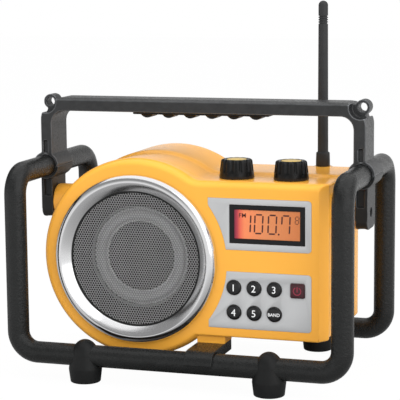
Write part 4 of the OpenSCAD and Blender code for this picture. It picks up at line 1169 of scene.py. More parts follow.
@dataclass
class Housing:
    """Front and rear shells: outlines of a drum joined to a box, lofted from front to rear."""

    front_y: float = -58.3
    rear_y: float = 62.0
    split_y: float = -35.0
    wall: float = 3.0
    drum_r: float = 85.0
    centre_x: float = -43.0
    centre_z: float = 102.8
    right: float = 122.5
    top: float = 171.0
    bottom: float = 40.4
    flare: float = 5.5
    lip: float = 9.3
    waist: float = 1.5
    swell: float = 0.8
    rear_round: float = 6.0
    blend_r: float = 20.0
    corner_r: float = 2.0
    inset: float = 4.6
    waist_end: float = -4.4
    swell_start: float = 3.6
    speaker_hole_r: float = 62.2
    boss_r: float = 15.0
    boss_z: float = 141.5
    boss_end: float = 136.5
    posts: Outline = field(default_factory=lambda: [
        (-94.6, 154.4), (-94.6, 51.2), (-43.0, 29.8), (-24.1, 173.3), (111.5, 160.0), (111.5, 50.4),
    ])
    waist_gap: float = 1.0
    waist_run: float = 5.0
    bevel_step: float = 0.7
    bevel_soft: float = 0.5
    floor_round: float = 1.3
    seam_step: float = 0.35
    seam_tuck: float = 0.3
    face_tuck: float = 0.7
    rear_inset: float = 2.2
    lip_inset: float = 2.5
    lip_inset_y: float = -50.0
    skirt_r: float = 65.0
    skirt_y: Pair = (-57.0, -46.5)
    baffle_hole_r: float = 44.5
    baffle_y: float = -49.0
    pedestal: tuple[float, float, float, float] = (10.3, 34.8, 33.5, 42.5)
    pedestal_y: Pair = (36.0, 55.0)
    post_r: float = 5.5
    post_bore_r: float = 3.8
    post_hole_r: float = 1.8
    post_end_y: float = 61.0
    post_ledge_y: float = -21.0
    rear_cut: Pair = (50.0, 70.0)
    door_gap: tuple[float, float, float, float] = (-0.5, 115.5, 58.0, 121.5)
    jack_gap: tuple[float, float, float, float] = (-64.8, -26.8, 50.0, 68.0)
    jack_wall: float = 2.0
    jack_y: tuple[float, float, float] = (54.0, 56.0, 60.5)
    jack_z: float = 59.0
    jack_holes: tuple[Pair, ...] = ((-53.8, 4.6), (-36.8, 3.6))
    boss_x: Pair = (100.0, 116.0)
    boss_bore: Pair = (1.9, 13.0)
    aerial_at: Pair = (91.3, 57.0)
    drum_steps: int = 150
    hollow_steps: int = 10
    flat_steps: int = 14
    floor_steps: int = 12
    corner_steps: int = 5

    @property
    def crest(self) -> float:
        """Depth at which the lip reaches the skin's full width."""
        return self.front_y + self.lip

    @property
    def rear_start(self) -> float:
        """Depth at which the rear edge starts to round."""
        return self.rear_y - self.rear_round

    def skin(self, y: float) -> float:
        """Tells how far the skin lies outside the plain outline.

        Args:
            y: the depth.

        Returns:
            The offset.
        """
        if y < self.crest:
            t = math.acos(max(-1.0, 1.0 - (y - self.front_y) / self.lip))
            return -self.flare * (1.0 - math.sin(t))
        if y > self.rear_start:
            t = math.asin(min(1.0, (y - self.rear_start) / self.rear_round))
            return self.swell - self.rear_round * (1.0 - math.cos(t))
        start = self.crest + self.waist_gap
        for y0, y1, d0, d1 in (
            (start, start + self.waist_run, 0.0, -self.waist),
            (self.waist_end, self.swell_start, -self.waist, self.swell),
        ):
            if y < y0:
                return d0
            if y < y1:
                return d0 + (d1 - d0) * (1.0 - math.cos(math.pi * (y - y0) / (y1 - y0))) / 2
        return self.swell

    def bevel(self, y: float) -> float:
        """Gives the right side's offset where its lip is a flat, sharp bevel.

        Args:
            y: the depth.

        Returns:
            The offset.
        """
        if y >= self.crest:
            return self.skin(y)
        start = self.front_y + self.bevel_step
        if y < start:
            return -self.flare - (start - y)
        return -self.flare * (self.crest - y) / (self.lip - self.bevel_step)

    def side_skin(self, y: float) -> float:
        """Gives the right side's offset, with the bevel's edges softened.

        Args:
            y: the depth.

        Returns:
            The offset.
        """
        if y <= self.front_y + 0.01:
            return self.bevel(y)
        ahead, behind = max(self.front_y, y - self.bevel_soft), y + self.bevel_soft
        return (self.bevel(y) + (self.bevel(ahead) + self.bevel(behind)) / 2) / 2

    def floor_skin(self, y: float) -> float:
        """Gives the floor's height, lifted where its front and rear edges are rounded.

        Args:
            y: the depth.

        Returns:
            The height.
        """
        r = self.floor_round
        gap = min(y - self.front_y, self.rear_y - y)
        if gap >= r:
            return self.bottom
        return self.bottom + (r - math.sqrt(max(0.0, r * r - (r - gap) ** 2)))

    def outline(self, d: float, side: float, floor: float) -> Outline:
        """Closed outline in X and Z, always with as many points.

        Args:
            d: offset of the drum and the top.
            side: offset of the right side.
            floor: height of the floor.

        Returns:
            The points, from the notch under the drum round the left side.
        """
        r, blend, c = self.drum_r + d, self.blend_r - d, self.corner_r
        hub_z = self.top + self.blend_r
        rise = hub_z - self.centre_z
        run = math.sqrt((self.drum_r + self.blend_r) ** 2 - rise * rise)
        hub_x = self.centre_x + run
        tilt = math.degrees(math.atan2(rise, run))
        notch = math.degrees(math.asin((self.centre_z - floor) / r))
        x1, z1 = self.right + side, self.top + d
        drum = arc(self.centre_x, self.centre_z, r, 360.0 - notch, tilt, self.drum_steps)
        hollow = arc(hub_x, hub_z, blend, tilt + 180.0, 270.0, self.hollow_steps)[1:]
        n, m, x0 = self.flat_steps, self.floor_steps, drum[0][0]
        rest = [(hub_x + (x1 - c - hub_x) * k / n, z1) for k in range(1, n)]
        rest += arc(x1 - c, z1 - c, c, 90, 0, self.corner_steps)
        rest += [(x1, z1 - c + (floor + c - z1 + c) * k / n) for k in range(1, n)]
        rest += arc(x1 - c, floor + c, c, 0, -90, self.corner_steps)
        rest += [(x1 - c + (x0 - x1 + c) * k / m, floor) for k in range(1, m)]
        return drum + hollow + rest

    def ring(self, y: float, d: float, side: float, floor: float) -> list[Vector]:
        """The outline at a depth, as points."""
        return [Vector((x, y, z)) for x, z in self.outline(d, side, floor)]

    def skin_ring(self, y: float, tuck: float = 0.0) -> list[Vector]:
        """The outer outline at a depth, drawn in by a small amount."""
        side, floor = self.side_skin(y) - tuck, self.floor_skin(y) + tuck
        return self.ring(y, self.skin(y) - tuck, side, floor)

    def inner_ring(self, y: float, inset: float) -> list[Vector]:
        """The inner outline at a depth."""
        side = -inset - (self.lip_inset if y < self.lip_inset_y else 0.0)
        return self.ring(y, -inset, side, self.bottom + self.wall)

    def front_rows(self) -> list[list[Vector]]:
        """Rings of the front shell, over the lip, round the seam and back inside.

        Returns:
            The rings, in order.
        """
        crest, seam = self.crest, self.split_y
        turns = [math.radians(a) for a in range(0, 90, 7)]
        depths = [self.front_y + self.lip * (1 - math.cos(t)) for t in turns]
        depths += [crest - 0.6, crest, crest + 0.6, crest + self.waist_gap]
        depths += [crest + self.waist_gap + self.waist_run * k / 6 for k in range(1, 7)]
        rows = [self.skin_ring(self.front_y, self.face_tuck)]
        rows += [self.skin_ring(y) for y in [*depths, seam - 4.0, seam - self.seam_step]]
        rows += [self.skin_ring(seam, self.seam_tuck)]
        inside = (seam, -45.0, self.front_y + self.wall)
        return rows + [self.inner_ring(y, self.inset) for y in inside]

    def rear_rows(self) -> list[list[Vector]]:
        """Rings of the rear shell, from inside round the seam to the rear face.

        Returns:
            The rings, in order.
        """
        seam, swell, waist = self.split_y, self.swell_start, self.waist_end
        inside = [
            (self.rear_y - self.wall, self.rear_inset), (swell + 3.0, self.rear_inset),
            (swell + 1.0, self.inset), (seam, self.inset),
        ]
        rows = [self.inner_ring(y, inset) for y, inset in inside]
        rows += [self.skin_ring(seam, self.seam_tuck)]
        depths = [seam + self.seam_step, seam + 4.0, -20.0, waist - 3.0]
        depths += [waist + (swell - waist) * k / 8 for k in range(9)]
        depths += [12.0, 30.0, self.rear_start - 3.0]
        turns = [math.radians(a) for a in range(0, 91, 9)]
        depths += [self.rear_start + self.rear_round * math.sin(t) for t in turns]
        rows += [self.skin_ring(y) for y in depths]
        return rows + [self.skin_ring(self.rear_y, self.face_tuck)]

    def front(self, cutters: list[bpy.types.Object]) -> bpy.types.Object:
        """The front shell, with its skirt, baffle and pedestal.

        Args:
            cutters: closed shapes that the control panel cuts out of the face.

        Returns:
            The piece.
        """
        draft = Draft().rings(self.front_rows(), cap=True)
        piece = draft.build("front_shell_moulding", YELLOW_ABS.material(), 28.0)
        hole = circle(self.centre_x, self.centre_z, self.speaker_hole_r, 120)
        carve(piece, [cutter(hole), *cutters])
        (ahead, behind), bore, baffle = self.skirt_y, self.speaker_hole_r, self.baffle_y
        skirt = [
            (bore, ahead), (self.skirt_r, ahead), (self.skirt_r, behind),
            (self.baffle_hole_r, behind), (self.baffle_hole_r, baffle), (bore, baffle),
        ]
        inside = Draft().spin(Axis.Y, (self.centre_x, 0.0, self.centre_z), skirt, 120, loop=True)
        near, far = self.pedestal_y
        inside.slab(rounded_rectangle(*self.pedestal, 0.5, 2), -far, -near)
        return self.finish(piece, inside, "front_shell")

    def rear(self) -> bpy.types.Object:
        """The rear shell, with its bosses, screw pockets, aerial column and openings.

        Returns:
            The piece.
        """
        draft = Draft().rings(self.rear_rows(), cap=True)
        piece = draft.build("rear_shell_moulding", YELLOW_ABS.material(), 28.0)
        gaps = [circle(x, z, self.post_bore_r, 48) for x, z in self.posts]
        gaps += [rounded_rectangle(*gap, 1.0, 3) for gap in (self.door_gap, self.jack_gap)]
        carve(piece, [cutter(gap, *self.rear_cut) for gap in gaps])
        inside = Draft()
        bore, hole, seam = self.post_bore_r, self.post_hole_r, self.split_y
        tube = [
            (bore, self.post_end_y), (self.post_r, self.post_end_y), (self.post_r, seam),
            (hole, seam), (hole, self.post_ledge_y), (bore, self.post_ledge_y),
        ]
        for x, z in self.posts:
            inside.spin(Axis.Y, (x, 0.0, z), tube, 32, loop=True)
        for s, x0 in zip((-1, 1), self.boss_x):
            inside.spin(Axis.X, (0.0, 0.0, self.boss_z), self.boss(s, x0), 72)
        inside.spin(Axis.Z, (*self.aerial_at, 0.0), AERIAL_COLUMN, 48)
        inside.slab(rounded_rectangle(*self.pedestal, 0.5, 2), *self.pedestal_y)
        return self.finish(piece, inside, "rear_shell", self.jack_recess())

    def boss(self, side: int, x0: float) -> Outline:
        """Profile of a side boss: rounded edge, and a blind hole for the bracket's screw.

        Args:
            side: -1 for left.
            x0: how far from the middle it starts.

        Returns:
            The profile.
        """
        r, end, (bore, deep) = self.boss_r, self.boss_end, self.boss_bore
        edge = [(r, end - 1.4), (r - 0.4, end - 0.4), (r - 1.4, end)]
        hole = [(bore, end), (bore, end - deep), (0.0, end - deep)]
        return [(u, side * v) for u, v in [(0.0, x0), (r, x0), *edge, *hole]]

    def jack_recess(self) -> bpy.types.Object:
        """Walls and floor of the recess that holds the two jacks.

        Returns:
            The recess, closed.
        """
        x0, x1, z0, z1 = self.jack_gap
        back, floor, front = self.jack_y
        w, end = self.jack_wall, self.rear_cut[1]
        block = Draft().slab(rounded_rectangle(x0 - w, x1 + w, z0 - w, z1 + w, 1.0, 3), back, front)
        cuts = [cutter(rounded_rectangle(*self.jack_gap, 1.0, 3), floor, end)]
        for x, r in self.jack_holes:
            cuts.append(cutter(circle(x, self.jack_z, r, 48), self.rear_cut[0], floor + 1.0))
        return carve(block.build("recess"), cuts)

    @staticmethod
    def finish(
        piece: bpy.types.Object, inside: Draft, node: str, extra: bpy.types.Object | None = None
    ) -> bpy.types.Object:
        """Adds the loose islands of a shell to its mesh and settles it.

        Args:
            piece: the lofted and cut shell.
            inside: islands that sit in or on it.
            node: the solid that it stands for.
            extra: one more part of the shell, which is used up.

        Returns:
            The piece.
        """
        islands = [inside.build("islands", None, 28.0)] + ([extra] if extra else [])
        tidy(gather(piece, islands), 28.0)
        for face in piece.data.polygons:
            face.material_index = 0
        return settle(piece, ROOT_BODY, [node])

    def build(self, solids: Solids, cutters: list[bpy.types.Object]) -> None:
        """Makes both shells, and dresses the seal and the shell screws.

        Args:
            solids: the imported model's solids.
            cutters: what the control panel cuts out of the face.
        """
        self.front(cutters)
        self.rear()
        solids.dress(RUBBER, "shell_gasket")
        seats = [(x, self.post_ledge_y, z) for x, z in self.posts]
        ScrewSet(
            "shell_screws", ROOT_BODY, seats, [FORWARD] * 6,
            head_r=3.3, head_h=2.4, shank_r=1.5, shank_len=21.0,
        ).build()


# ---- Speaker ----


@dataclass
class Speaker:
    """Plated ring, perforated grille and the driver behind it."""

    centre: tuple[float, float, float] = (-43.0, 0.0, 102.8)
    ring_r: float = 72.3
    ridge_r: float = 65.8
    clear_r: float = 58.0
    face_y: float = -58.3
    ridge_y: float = -65.5
    lip_y: float = -59.7
    grille_y: float = -58.8
    grille_r: float = 60.5
    grille_t: float = 0.5
    pitch: float = 2.2
    hole_d: float = 1.8
    back_y: float = -55.7
    back_r: float = 62.1
    edge_h: float = 0.6
    ring_wall: float = 0.8
    dish_power: float = 1.12
    foam_r: Pair = (44.2, 61.5)
    foam_y: tuple[float, float, float, float] = (-55.4, -50.2, -49.0, -46.6)
    foam_step: float = 0.25
    roll_r: float = 36.0
    roll_half: float = 4.0
    roll_y: float = -43.8
    rubber_t: float = 0.6
    land_r: Pair = (41.9, 30.0)
    land_y: float = -43.9
    cone_rim: Pair = (29.6, -43.2)
    cone_run: Pair = (17.3, 17.1)
    cone_deep: float = 16.4
    cone_bulge: float = 1.2
    cone_shares: tuple[float, ...] = (0.15, 0.3, 0.5, 0.7, 0.85)
    cone_neck: tuple[Pair, ...] = ((12.3, -26.8), (12.3, -26.2), (13.3, -26.2))
    cap_r: float = 14.3
    cap_y: float = -29.1
    cap_rise: float = 5.0
    paper_t: float = 0.6
    screw_circle_r: float = 52.0
    screw_y: float = -44.2

    @staticmethod
    def tree() -> bpy.types.NodeTree:
        """Builds the tree of the perforated sheet: hexagonal cells, each with a round hole.

        Returns:
            The tree.
        """
        tree, given = start_tree(
            "hexagonal_perforation",
            {
                "Pitch": "Float", "Hole diameter": "Float", "Radius": "Float", "Depth": "Float",
                "Count": "Int", "Place": "Vector", "Finish": "Material",
            },
        )
        count, pitch = given.outputs["Count"], given.outputs["Pitch"]
        grid = add_node(
            tree, "GeometryNodeMeshGrid", None, {"Vertices X": count, "Vertices Y": count}
        )
        index = add_node(tree, "GeometryNodeInputIndex").outputs[0]
        row = maths(tree, "FLOOR", maths(tree, "DIVIDE", index, count))
        column = maths(tree, "MODULO", index, count)
        shift = maths(tree, "MULTIPLY", maths(tree, "MODULO", row, 2.0), 0.5)
        half = maths(tree, "MULTIPLY", count, 0.5)
        along = maths(tree, "ADD", maths(tree, "SUBTRACT", column, half), shift)
        x = maths(tree, "MULTIPLY", along, pitch)
        up = maths(tree, "MULTIPLY", maths(tree, "SUBTRACT", row, half), pitch)
        y = maths(tree, "MULTIPLY", up, math.sqrt(0.75))
        spot = add_node(tree, "ShaderNodeCombineXYZ", None, {"X": x, "Y": y}).outputs[0]
        points = add_node(
            tree, "GeometryNodeSetPosition", None, {"Geometry": grid.outputs[0], "Position": spot}
        )
        here = add_node(tree, "GeometryNodeInputPosition").outputs[0]
        outside = maths(tree, "GREATER_THAN", reach(tree, here), given.outputs["Radius"])
        kept = add_node(
            tree,
            "GeometryNodeDeleteGeometry",
            {"domain": "POINT"},
            {"Geometry": points.outputs[0], "Selection": outside},
        )
        ring = {"mode": "RADIUS"}
        cell_r = maths(tree, "DIVIDE", pitch, math.sqrt(3.0))
        hole_r = maths(tree, "MULTIPLY", given.outputs["Hole diameter"], 0.5)
        cell, hole = (
            add_node(
                tree, "GeometryNodeCurvePrimitiveCircle", ring, {"Resolution": sides, "Radius": r}
            )
            for sides, r in ((6, cell_r), (8, hole_r))
        )
        turned = add_node(
            tree, "GeometryNodeTransform", None,
            {0: cell.outputs[0], "Rotation": (0, 0, math.pi / 6)},
        )
        both = add_node(tree, "GeometryNodeJoinGeometry")
        tree.links.new(turned.outputs[0], both.inputs[0])
        tree.links.new(hole.outputs[0], both.inputs[0])
        tile = add_node(tree, "GeometryNodeFillCurve", None, {0: both.outputs[0]})
        placed = add_node(
            tree,
            "GeometryNodeInstanceOnPoints",
            None,
            {"Points": kept.outputs[0], "Instance": tile.outputs[0]},
        )
        real = add_node(tree, "GeometryNodeRealizeInstances", None, {0: placed.outputs[0]})
        joined = add_node(
            tree, "GeometryNodeMergeByDistance", None,
            {0: real.outputs[0], "Distance": CELL_MERGE_M},
        )
        thick = add_node(
            tree,
            "GeometryNodeExtrudeMesh",
            {"mode": "FACES"},
            {
                "Mesh": joined.outputs[0],
                "Offset Scale": given.outputs["Depth"],
                "Individual": False,
            },
        )
        stood = add_node(
            tree,
            "GeometryNodeTransform",
            None,
            {
                0: thick.outputs[0],
                "Translation": given.outputs["Place"],
                "Rotation": (math.pi / 2, 0, 0),
            },
        )
        return end_tree(tree, stood.outputs[0], given.outputs["Finish"])

    def grille(self) -> bpy.types.Object:
        """Makes the perforated sheet, with the plain rim that the ring covers.

        Returns:
            The piece.
        """
        y0, y1, inner_r = self.grille_y, self.grille_y + self.grille_t, self.clear_r - 0.4
        rim = [(self.grille_r, y0), (self.grille_r, y1), (inner_r, y1), (inner_r, y0 + 0.02)]
        edge = Draft().spin(Axis.Y, self.centre, rim, 120, loop=True).build("grille_rim")
        piece = add_object("grille_sheet", bpy.data.meshes.new("grille_sheet"))
        values = {
            "Pitch": self.pitch * MM,
            "Hole diameter": self.hole_d * MM,
            "Radius": (self.clear_r + 0.6) * MM,
            "Depth": self.grille_t * MM,
            "Count": 2 * int(self.grille_r / self.pitch) + 12,
            "Place": Vector((self.centre[0], y1, self.centre[2])) * MM,
            "Finish": GRILLE_PAINT.material(),
        }
        gather(run_nodes(piece, self.tree(), values), [edge])
        return settle(piece, ROOT_BODY, ["speaker_grille"])

    def ring(self) -> bpy.types.Object:
        """Makes the plated ring: convex outside, a soft ridge, a dished inside.

        Returns:
            The piece.
        """
        low = self.face_y - self.edge_h
        rise = self.face_y + self.edge_h - self.ridge_y - 2 * self.edge_h
        outer = bow(self.ridge_r, low, self.ring_r - self.ridge_r, rise, range(-90, 1, 6))
        inner = [
            (self.ridge_r + (self.clear_r - self.ridge_r) * t,
             self.ridge_y + (self.lip_y - self.ridge_y) * t ** self.dish_power)
            for t in (0.04, 0.1, 0.2, 0.35, 0.5, 0.65, 0.8, 0.92, 1.0)
        ]
        seat_r, seat_y = self.grille_r + 0.2, self.lip_y + self.ring_wall
        back = [
            (self.clear_r, seat_y), (seat_r, seat_y), (seat_r, self.back_y),
            (self.back_r, self.back_y), (self.back_r, self.face_y), (self.ring_r, self.face_y),
        ]
        profile = [*reversed(inner), *outer, *reversed(back)]
        piece = Draft().spin(Axis.Y, self.centre, profile, 180, loop=True)
        made = piece.build("speaker_ring_plated", CHROME_PLATE.material(self.centre), 40.0)
        return settle(made, ROOT_BODY, ["speaker_ring"])

    def shadow_ring(self) -> None:
        """Makes a thin black ring, in the rubber finish, between the ring's inner edge and the
        grille: a painted shadow of the gap there.
        """
        r, y = self.clear_r, self.grille_y
        outline = [(r - 1.7, y - 0.02), (r - 1.5, y - 0.3), (r + 0.1, y - 0.5), (r + 0.1, y - 0.02)]
        made = Draft().spin(Axis.Y, self.centre, outline, 180, loop=True)
        settle(made.build("grille_bead", RUBBER.material(), 40.0), ROOT_BODY)

    def turned(
        self,
        name: str,
        profile: Outline,
        finish: Finish,
        body: str,
        slot: str,
        node: str,
        steps: int,
    ) -> None:
        """Makes and settles one turned part of the driver."""
        made = Draft().spin(Axis.Y, self.centre, profile, steps, loop=True)
        settle(made.build(name, finish.material(), 40.0), body, [node])

    def cone_side(self, r: float, y: float, run: float, shares: Iterable[float]) -> Outline:
        """One side of the cone's wall as (radius, depth): drawn in by run, bulged a little."""
        deep, bulge = self.cone_deep, self.cone_bulge
        return [(r - run * t, y + deep * t + bulge * math.sin(math.pi * t)) for t in shares]

    def driver(self, solids: Solids) -> None:
        """Makes foam ring, surround, cone and cap, and dresses the parts behind them.

        Args:
            solids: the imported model's solids.
        """
        (inner_r, outer_r), (front, ledge, back, neck) = self.foam_r, self.foam_y
        step_r = inner_r + self.foam_step
        foam = [
            (inner_r, ledge), (outer_r, ledge), (outer_r, front), (self.back_r, front),
            (self.back_r, back), (step_r, back), (step_r, neck), (inner_r, neck),
        ]
        made = Draft().spin(Axis.Y, self.centre, foam, 96, loop=True)
        piece = made.build("foam_washer", FOAM.material())
        settle(piece, ROOT_BODY, ["foam_ring"])
        r, y, half = self.roll_r, self.roll_y, self.roll_half
        thin = half - self.rubber_t
        roll = bow(r, y, half, -half, range(0, 181, 10))
        under = bow(r, y, thin, -thin, range(180, -1, -10))
        rim_r, rim_y = self.cone_rim
        (outer, inner), land = self.land_r, self.land_y
        flange = [(outer, rim_y), (outer, land), *roll, (inner, land), (inner, rim_y), *under]
        self.turned(
            "surround_roll", flange, BUTYL, ROOT_BODY, "surround_grey", "speaker_surround", 120
        )
        shares, (run, run_behind) = self.cone_shares, self.cone_run
        back_r, back_y = rim_r + 0.8, rim_y + self.paper_t
        cone = [(rim_r + 2.0, rim_y), (rim_r, rim_y), *self.cone_side(rim_r, rim_y, run, shares)]
        cone += self.cone_neck
        cone += self.cone_side(back_r, back_y, run_behind, reversed(shares))
        cone += [(back_r, back_y), (rim_r + 2.0, back_y)]
        self.turned("cone_paper", cone, PAPER, "cone", "paper_grey", "speaker_cone", 96)
        t = self.paper_t
        cap = bow(0.0, self.cap_y, self.cap_r, -self.cap_rise, range(0, 91, 9))
        cap += bow(0.0, self.cap_y + t, self.cap_r - t, -self.cap_rise, range(90, -1, -9))
        self.turned("dust_dome", cap, PAPER, "cone", "paper_grey", "dust_cap", 72)
        for finish, node in (
            (NYLON, "speaker_basket"), (ZINC, "speaker_yoke"),
            (FERRITE, "speaker_magnet"), (COPPER, "voice_coil"),
        ):
            solids.dress(finish, node)
        places = arc(self.centre[0], self.centre[2], self.screw_circle_r, 45, 315, 3)
        seats = [(x, self.screw_y, z) for x, z in places]
        ScrewSet(
            "speaker_screws", ROOT_BODY, seats, [FORWARD] * 4,
            head_r=2.8, head_h=1.8, shank_r=1.3, shank_len=3.8,
        ).build()

    def build(self, solids: Solids) -> None:
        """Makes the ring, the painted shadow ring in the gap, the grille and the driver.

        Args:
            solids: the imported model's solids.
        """
        self.ring()
        self.shadow_ring()
        self.grille()
        self.driver(solids)


# ---- Control panel ----


@dataclass
class ControlPanel:
    """Silver overlays, display, keys and their legends."""

    face_y: float = -58.3
    overlay_y: float = -57.9
    overlay_t: float = 0.6
    overlay_x: Pair = (21.8, 110.1)
    upper_z: Pair = (114.6, 157.6)
    lower_z: Pair = (48.2, 96.3)
    arc_r: float = 81.0
    speaker: Pair = (-43.0, 102.8)
    window: tuple[float, float, float, float] = (40.4, 104.8, 120.3, 152.5)
    film: tuple[float, float, float, float] = (44.4, 100.6, 124.3, 148.5)
    key_x: tuple[float, float, float] = (43.9, 61.3, 78.7)
    key_z: Pair = (82.9, 62.0)
    key_r: float = 6.3
    power: Pair = (98.5, 82.9)
    power_w: float = 12.0
    proud: float = 1.9
    gap: float = 0.3
    key_edge: Pair = (2.4, 1.4)
    key_dish: float = 0.12
    digits: tuple[tuple[float, str], ...] = ((50.6, "1"), (61.0, "0"), (72.6, "0"), (84.0, "7"))
    digit_z: float = 128.6
    digit_size: tuple[float, float, float] = (8.0, 16.8, 1.25)
    small_digit: Pair = (96.0, 138.0)
    small_size: tuple[float, float, float] = (3.6, 6.6, 0.6)
    point: tuple[float, float, float, float] = (81.7, 83.1, 128.4, 129.8)
    window_y: Pair = (-57.6, -56.5)
    film_y: Pair = (-58.0, -57.58)
    segment_y: Pair = (-58.06, -57.98)
    flange_y: Pair = (-55.0, -54.0)
    flange_w: float = 1.3
    lean: float = 0.05
    band_at: tuple[float, float, float] = (51.6, -58.05, 143.8)
    power_r: Pair = (3.6, 2.7)
    power_bar: Pair = (0.45, -0.9)

    def overlay_outline(self, z0: float, z1: float, grow: float) -> Outline:
        """Outline of an overlay: round corners on the right, a left edge round the speaker.

        Args:
            z0: lowest height.
            z1: highest height.
            grow: how much the outline is grown.

        Returns:
            The points, counter-clockwise.
        """
        x0, x1, r = self.overlay_x[0] - grow, self.overlay_x[1] + grow, 3.0 + grow
        z0, z1, reach = z0 - grow, z1 + grow, self.arc_r - grow
        cx, cz = self.speaker
        points = arc(x1 - r, z0 + r, r, 270, 360, 6) + arc(x1 - r, z1 - r, r, 0, 90, 6)
        for k in range(25):
            z = z1 + (z0 - z1) * k / 24
            away = abs(z - cz)
            edge = cx + math.sqrt(reach * reach - away * away) if away < reach else x0
            points.append((max(x0, edge), z))
        return points

    def key_places(self) -> Outline:
        """Centres of the six round keys, row by row."""
        return [(x, z) for z in self.key_z for x in self.key_x]

    def key_cutters(self) -> list[bpy.types.Object]:
        """Cutters of the seven key holes, the square one last."""
        outlines = [circle(x, z, self.key_r + self.gap, 36) for x, z in self.key_places()]
        return [cutter(o) for o in [*outlines, self.power_outline(self.gap)]]

    def window_cutter(self, grow: float) -> bpy.types.Object:
        """Cutter of the display window, grown by a small gap."""
        x0, x1, z0, z1 = self.window
        return cutter(rounded_rectangle(x0 - grow, x1 + grow, z0 - grow, z1 + grow, 0.5, 2))

    def cutters(self) -> list[bpy.types.Object]:
        """What the face of the housing loses: two recesses, the window and the key holes.

        Returns:
            The cutters.
        """
        shapes = [
            cutter(self.overlay_outline(z0, z1, 0.15), y1=self.overlay_y)
            for z0, z1 in (self.upper_z, self.lower_z)
        ]
        return [*shapes, self.window_cutter(0.0), *self.key_cutters()]

    def power_outline(self, grow: float) -> Outline:
        """Outline of the square power key.

        Args:
            grow: how far it stands outside the key.

        Returns:
            The points.
        """
        h = self.power_w / 2 + grow
        x, z = self.power
        return rounded_rectangle(x - h, x + h, z - h, z + h, 1.4 + grow, 5)

    def overlays(self) -> None:
        """Makes the two silver overlays, cut round the window and the keys."""
        front = self.overlay_y - self.overlay_t
        for word, (z0, z1), cut in (
            ("upper", self.upper_z, lambda: [self.window_cutter(0.1)]),
            ("lower", self.lower_z, self.key_cutters),
        ):
            plate = Draft().slab(self.overlay_outline(z0, z1, 0.0), front, self.overlay_y)
            piece = plate.build(f"{word}_overlay", SILVER_INK.material(), 30.0)
            carve(piece, cut())
            settle(self.soften(piece), ROOT_BODY, [f"{word}_panel"])

    @staticmethod
    def soften(piece: bpy.types.Object) -> bpy.types.Object:
        """Rounds the sharp edges of a flat plate a little.

        Args:
            piece: the plate.

        Returns:
            The plate.
        """
        rounding = piece.modifiers.new("edges", "BEVEL")
        rounding.width = 0.15 * MM
        rounding.segments = 2
        rounding.limit_method = "ANGLE"
        rounding.angle_limit = math.radians(50)
        return shade(bake(piece), 30.0)

    def display(self) -> None:
        """Makes the black border, the lit film and the liquid crystal figures."""
        a0, a1, b0, b1 = self.film
        ledge, back = self.window_y
        plate = Draft().slab(rounded_rectangle(*self.window, 0.4, 2), self.face_y - 0.3, back)
        border = plate.build("display_border", WINDOW_GLOSS.material(), 30.0)
        carve(border, [cutter(rounded_rectangle(a0, a1, b0, b1, 0.3, 2), y1=ledge)])
        settle(self.soften(border), ROOT_BODY, ["display_window"])
        inside = rounded_rectangle(a0 + 0.02, a1 - 0.02, b0 + 0.02, b1 - 0.02, 0.3, 2)
        film = Draft().slab(inside, *self.film_y).build("display_film", LitFilm().material())
        settle(film, ROOT_BODY)
        figures = Draft()
        for x, shape in self.digits:
            self.figure(figures, (x, self.digit_z), self.digit_size, shape)
        self.figure(figures, self.small_digit, self.small_size, "8")
        figures.slab(rounded_rectangle(*self.point, 0.3, 2), *self.segment_y)
        dark = SEGMENT_DARK.material()
        settle(figures.build("display_figures", dark), ROOT_BODY)
        band = text_mesh("display_band", "FM", 5.2, self.band_at, dark, 0.04)
        settle(band, ROOT_BODY)

    def figure(self, draft: Draft, at: Pair, size: tuple[float, float, float], shape: str) -> None:
        """Adds one seven-segment figure, leaning a little to the right.

        Args:
            draft: the mesh that gets it.
            at: its left edge and its foot.
            size: its width, its height and the thickness of a segment.
            shape: the figure to show.
        """
        on = {"0": "abcdef", "1": "bc", "7": "abcf", "8": "abcdefg"}[shape]
        (x, z), (width, height, t) = at, size
        g, half = t * 0.35, height / 2
        bars = {
            "a": (t, height - t, width - t, height), "d": (t, 0.0, width - t, t),
            "g": (t, half - t / 2, width - t, half + t / 2),
            "b": (width - t, half + g, width, height - t), "c": (width - t, t, width, half - g),
            "f": (0.0, half + g, t, height - t), "e": (0.0, t, t, half - g),
        }
        for name in on:
            u0, v0, u1, v1 = bars[name]
            u, v = (u0 + u1) / 2, (v0 + v1) / 2
            if name in "adg":
                bar = ((u0 + g, v0), (u1 - g, v0), (u1, v), (u1 - g, v1), (u0 + g, v1), (u0, v))
            else:
                bar = ((u0, v0 + g), (u, v0), (u1, v0 + g), (u1, v1 - g), (u, v1), (u0, v1 - g))
            draft.slab([(x + p + self.lean * q, z + q) for p, q in bar], *self.segment_y)

    def round_key(self, node: str, body: str, x: float, z: float, legend: str) -> None:
        """A round key with a shallow dished crown and its legend.

        Args:
            node: the solid that it stands for.
            body: the body that carries it.
            x: its centre.
            z: its height.
            legend: what is printed on it.
        """
        r, top = self.key_r, self.face_y - self.proud
        wide, high = self.key_edge
        flat = r - wide
        rim = bow(flat, top + high, wide, -high, range(0, 91, 10))
        dish = [
            (flat * (1 - t), top - self.key_dish * (1 - (1 - t) ** 2))
            for t in (0.25, 0.5, 0.75, 1.0)
        ]
        (near, far), wide_r = self.flange_y, r + self.flange_w
        flange = [(0.0, far), (wide_r, far), (wide_r, near), (r, near)]
        piece = Draft().spin(Axis.Y, (x, 0.0, z), flange + rim + dish, 64)
        made = piece.build(node + "_cap", KEY_GLOSS.material(), 40.0)
        settle(made, body, [node])
        size, weight = (8.3, 0.02) if len(legend) == 1 else (3.8, 0.05)
        place, ink = (x, top - self.key_dish - 0.01, z), INK_WHITE.material()
        words = text_mesh(node + "_legend", legend, size, place, ink, weight)
        settle(words, body)

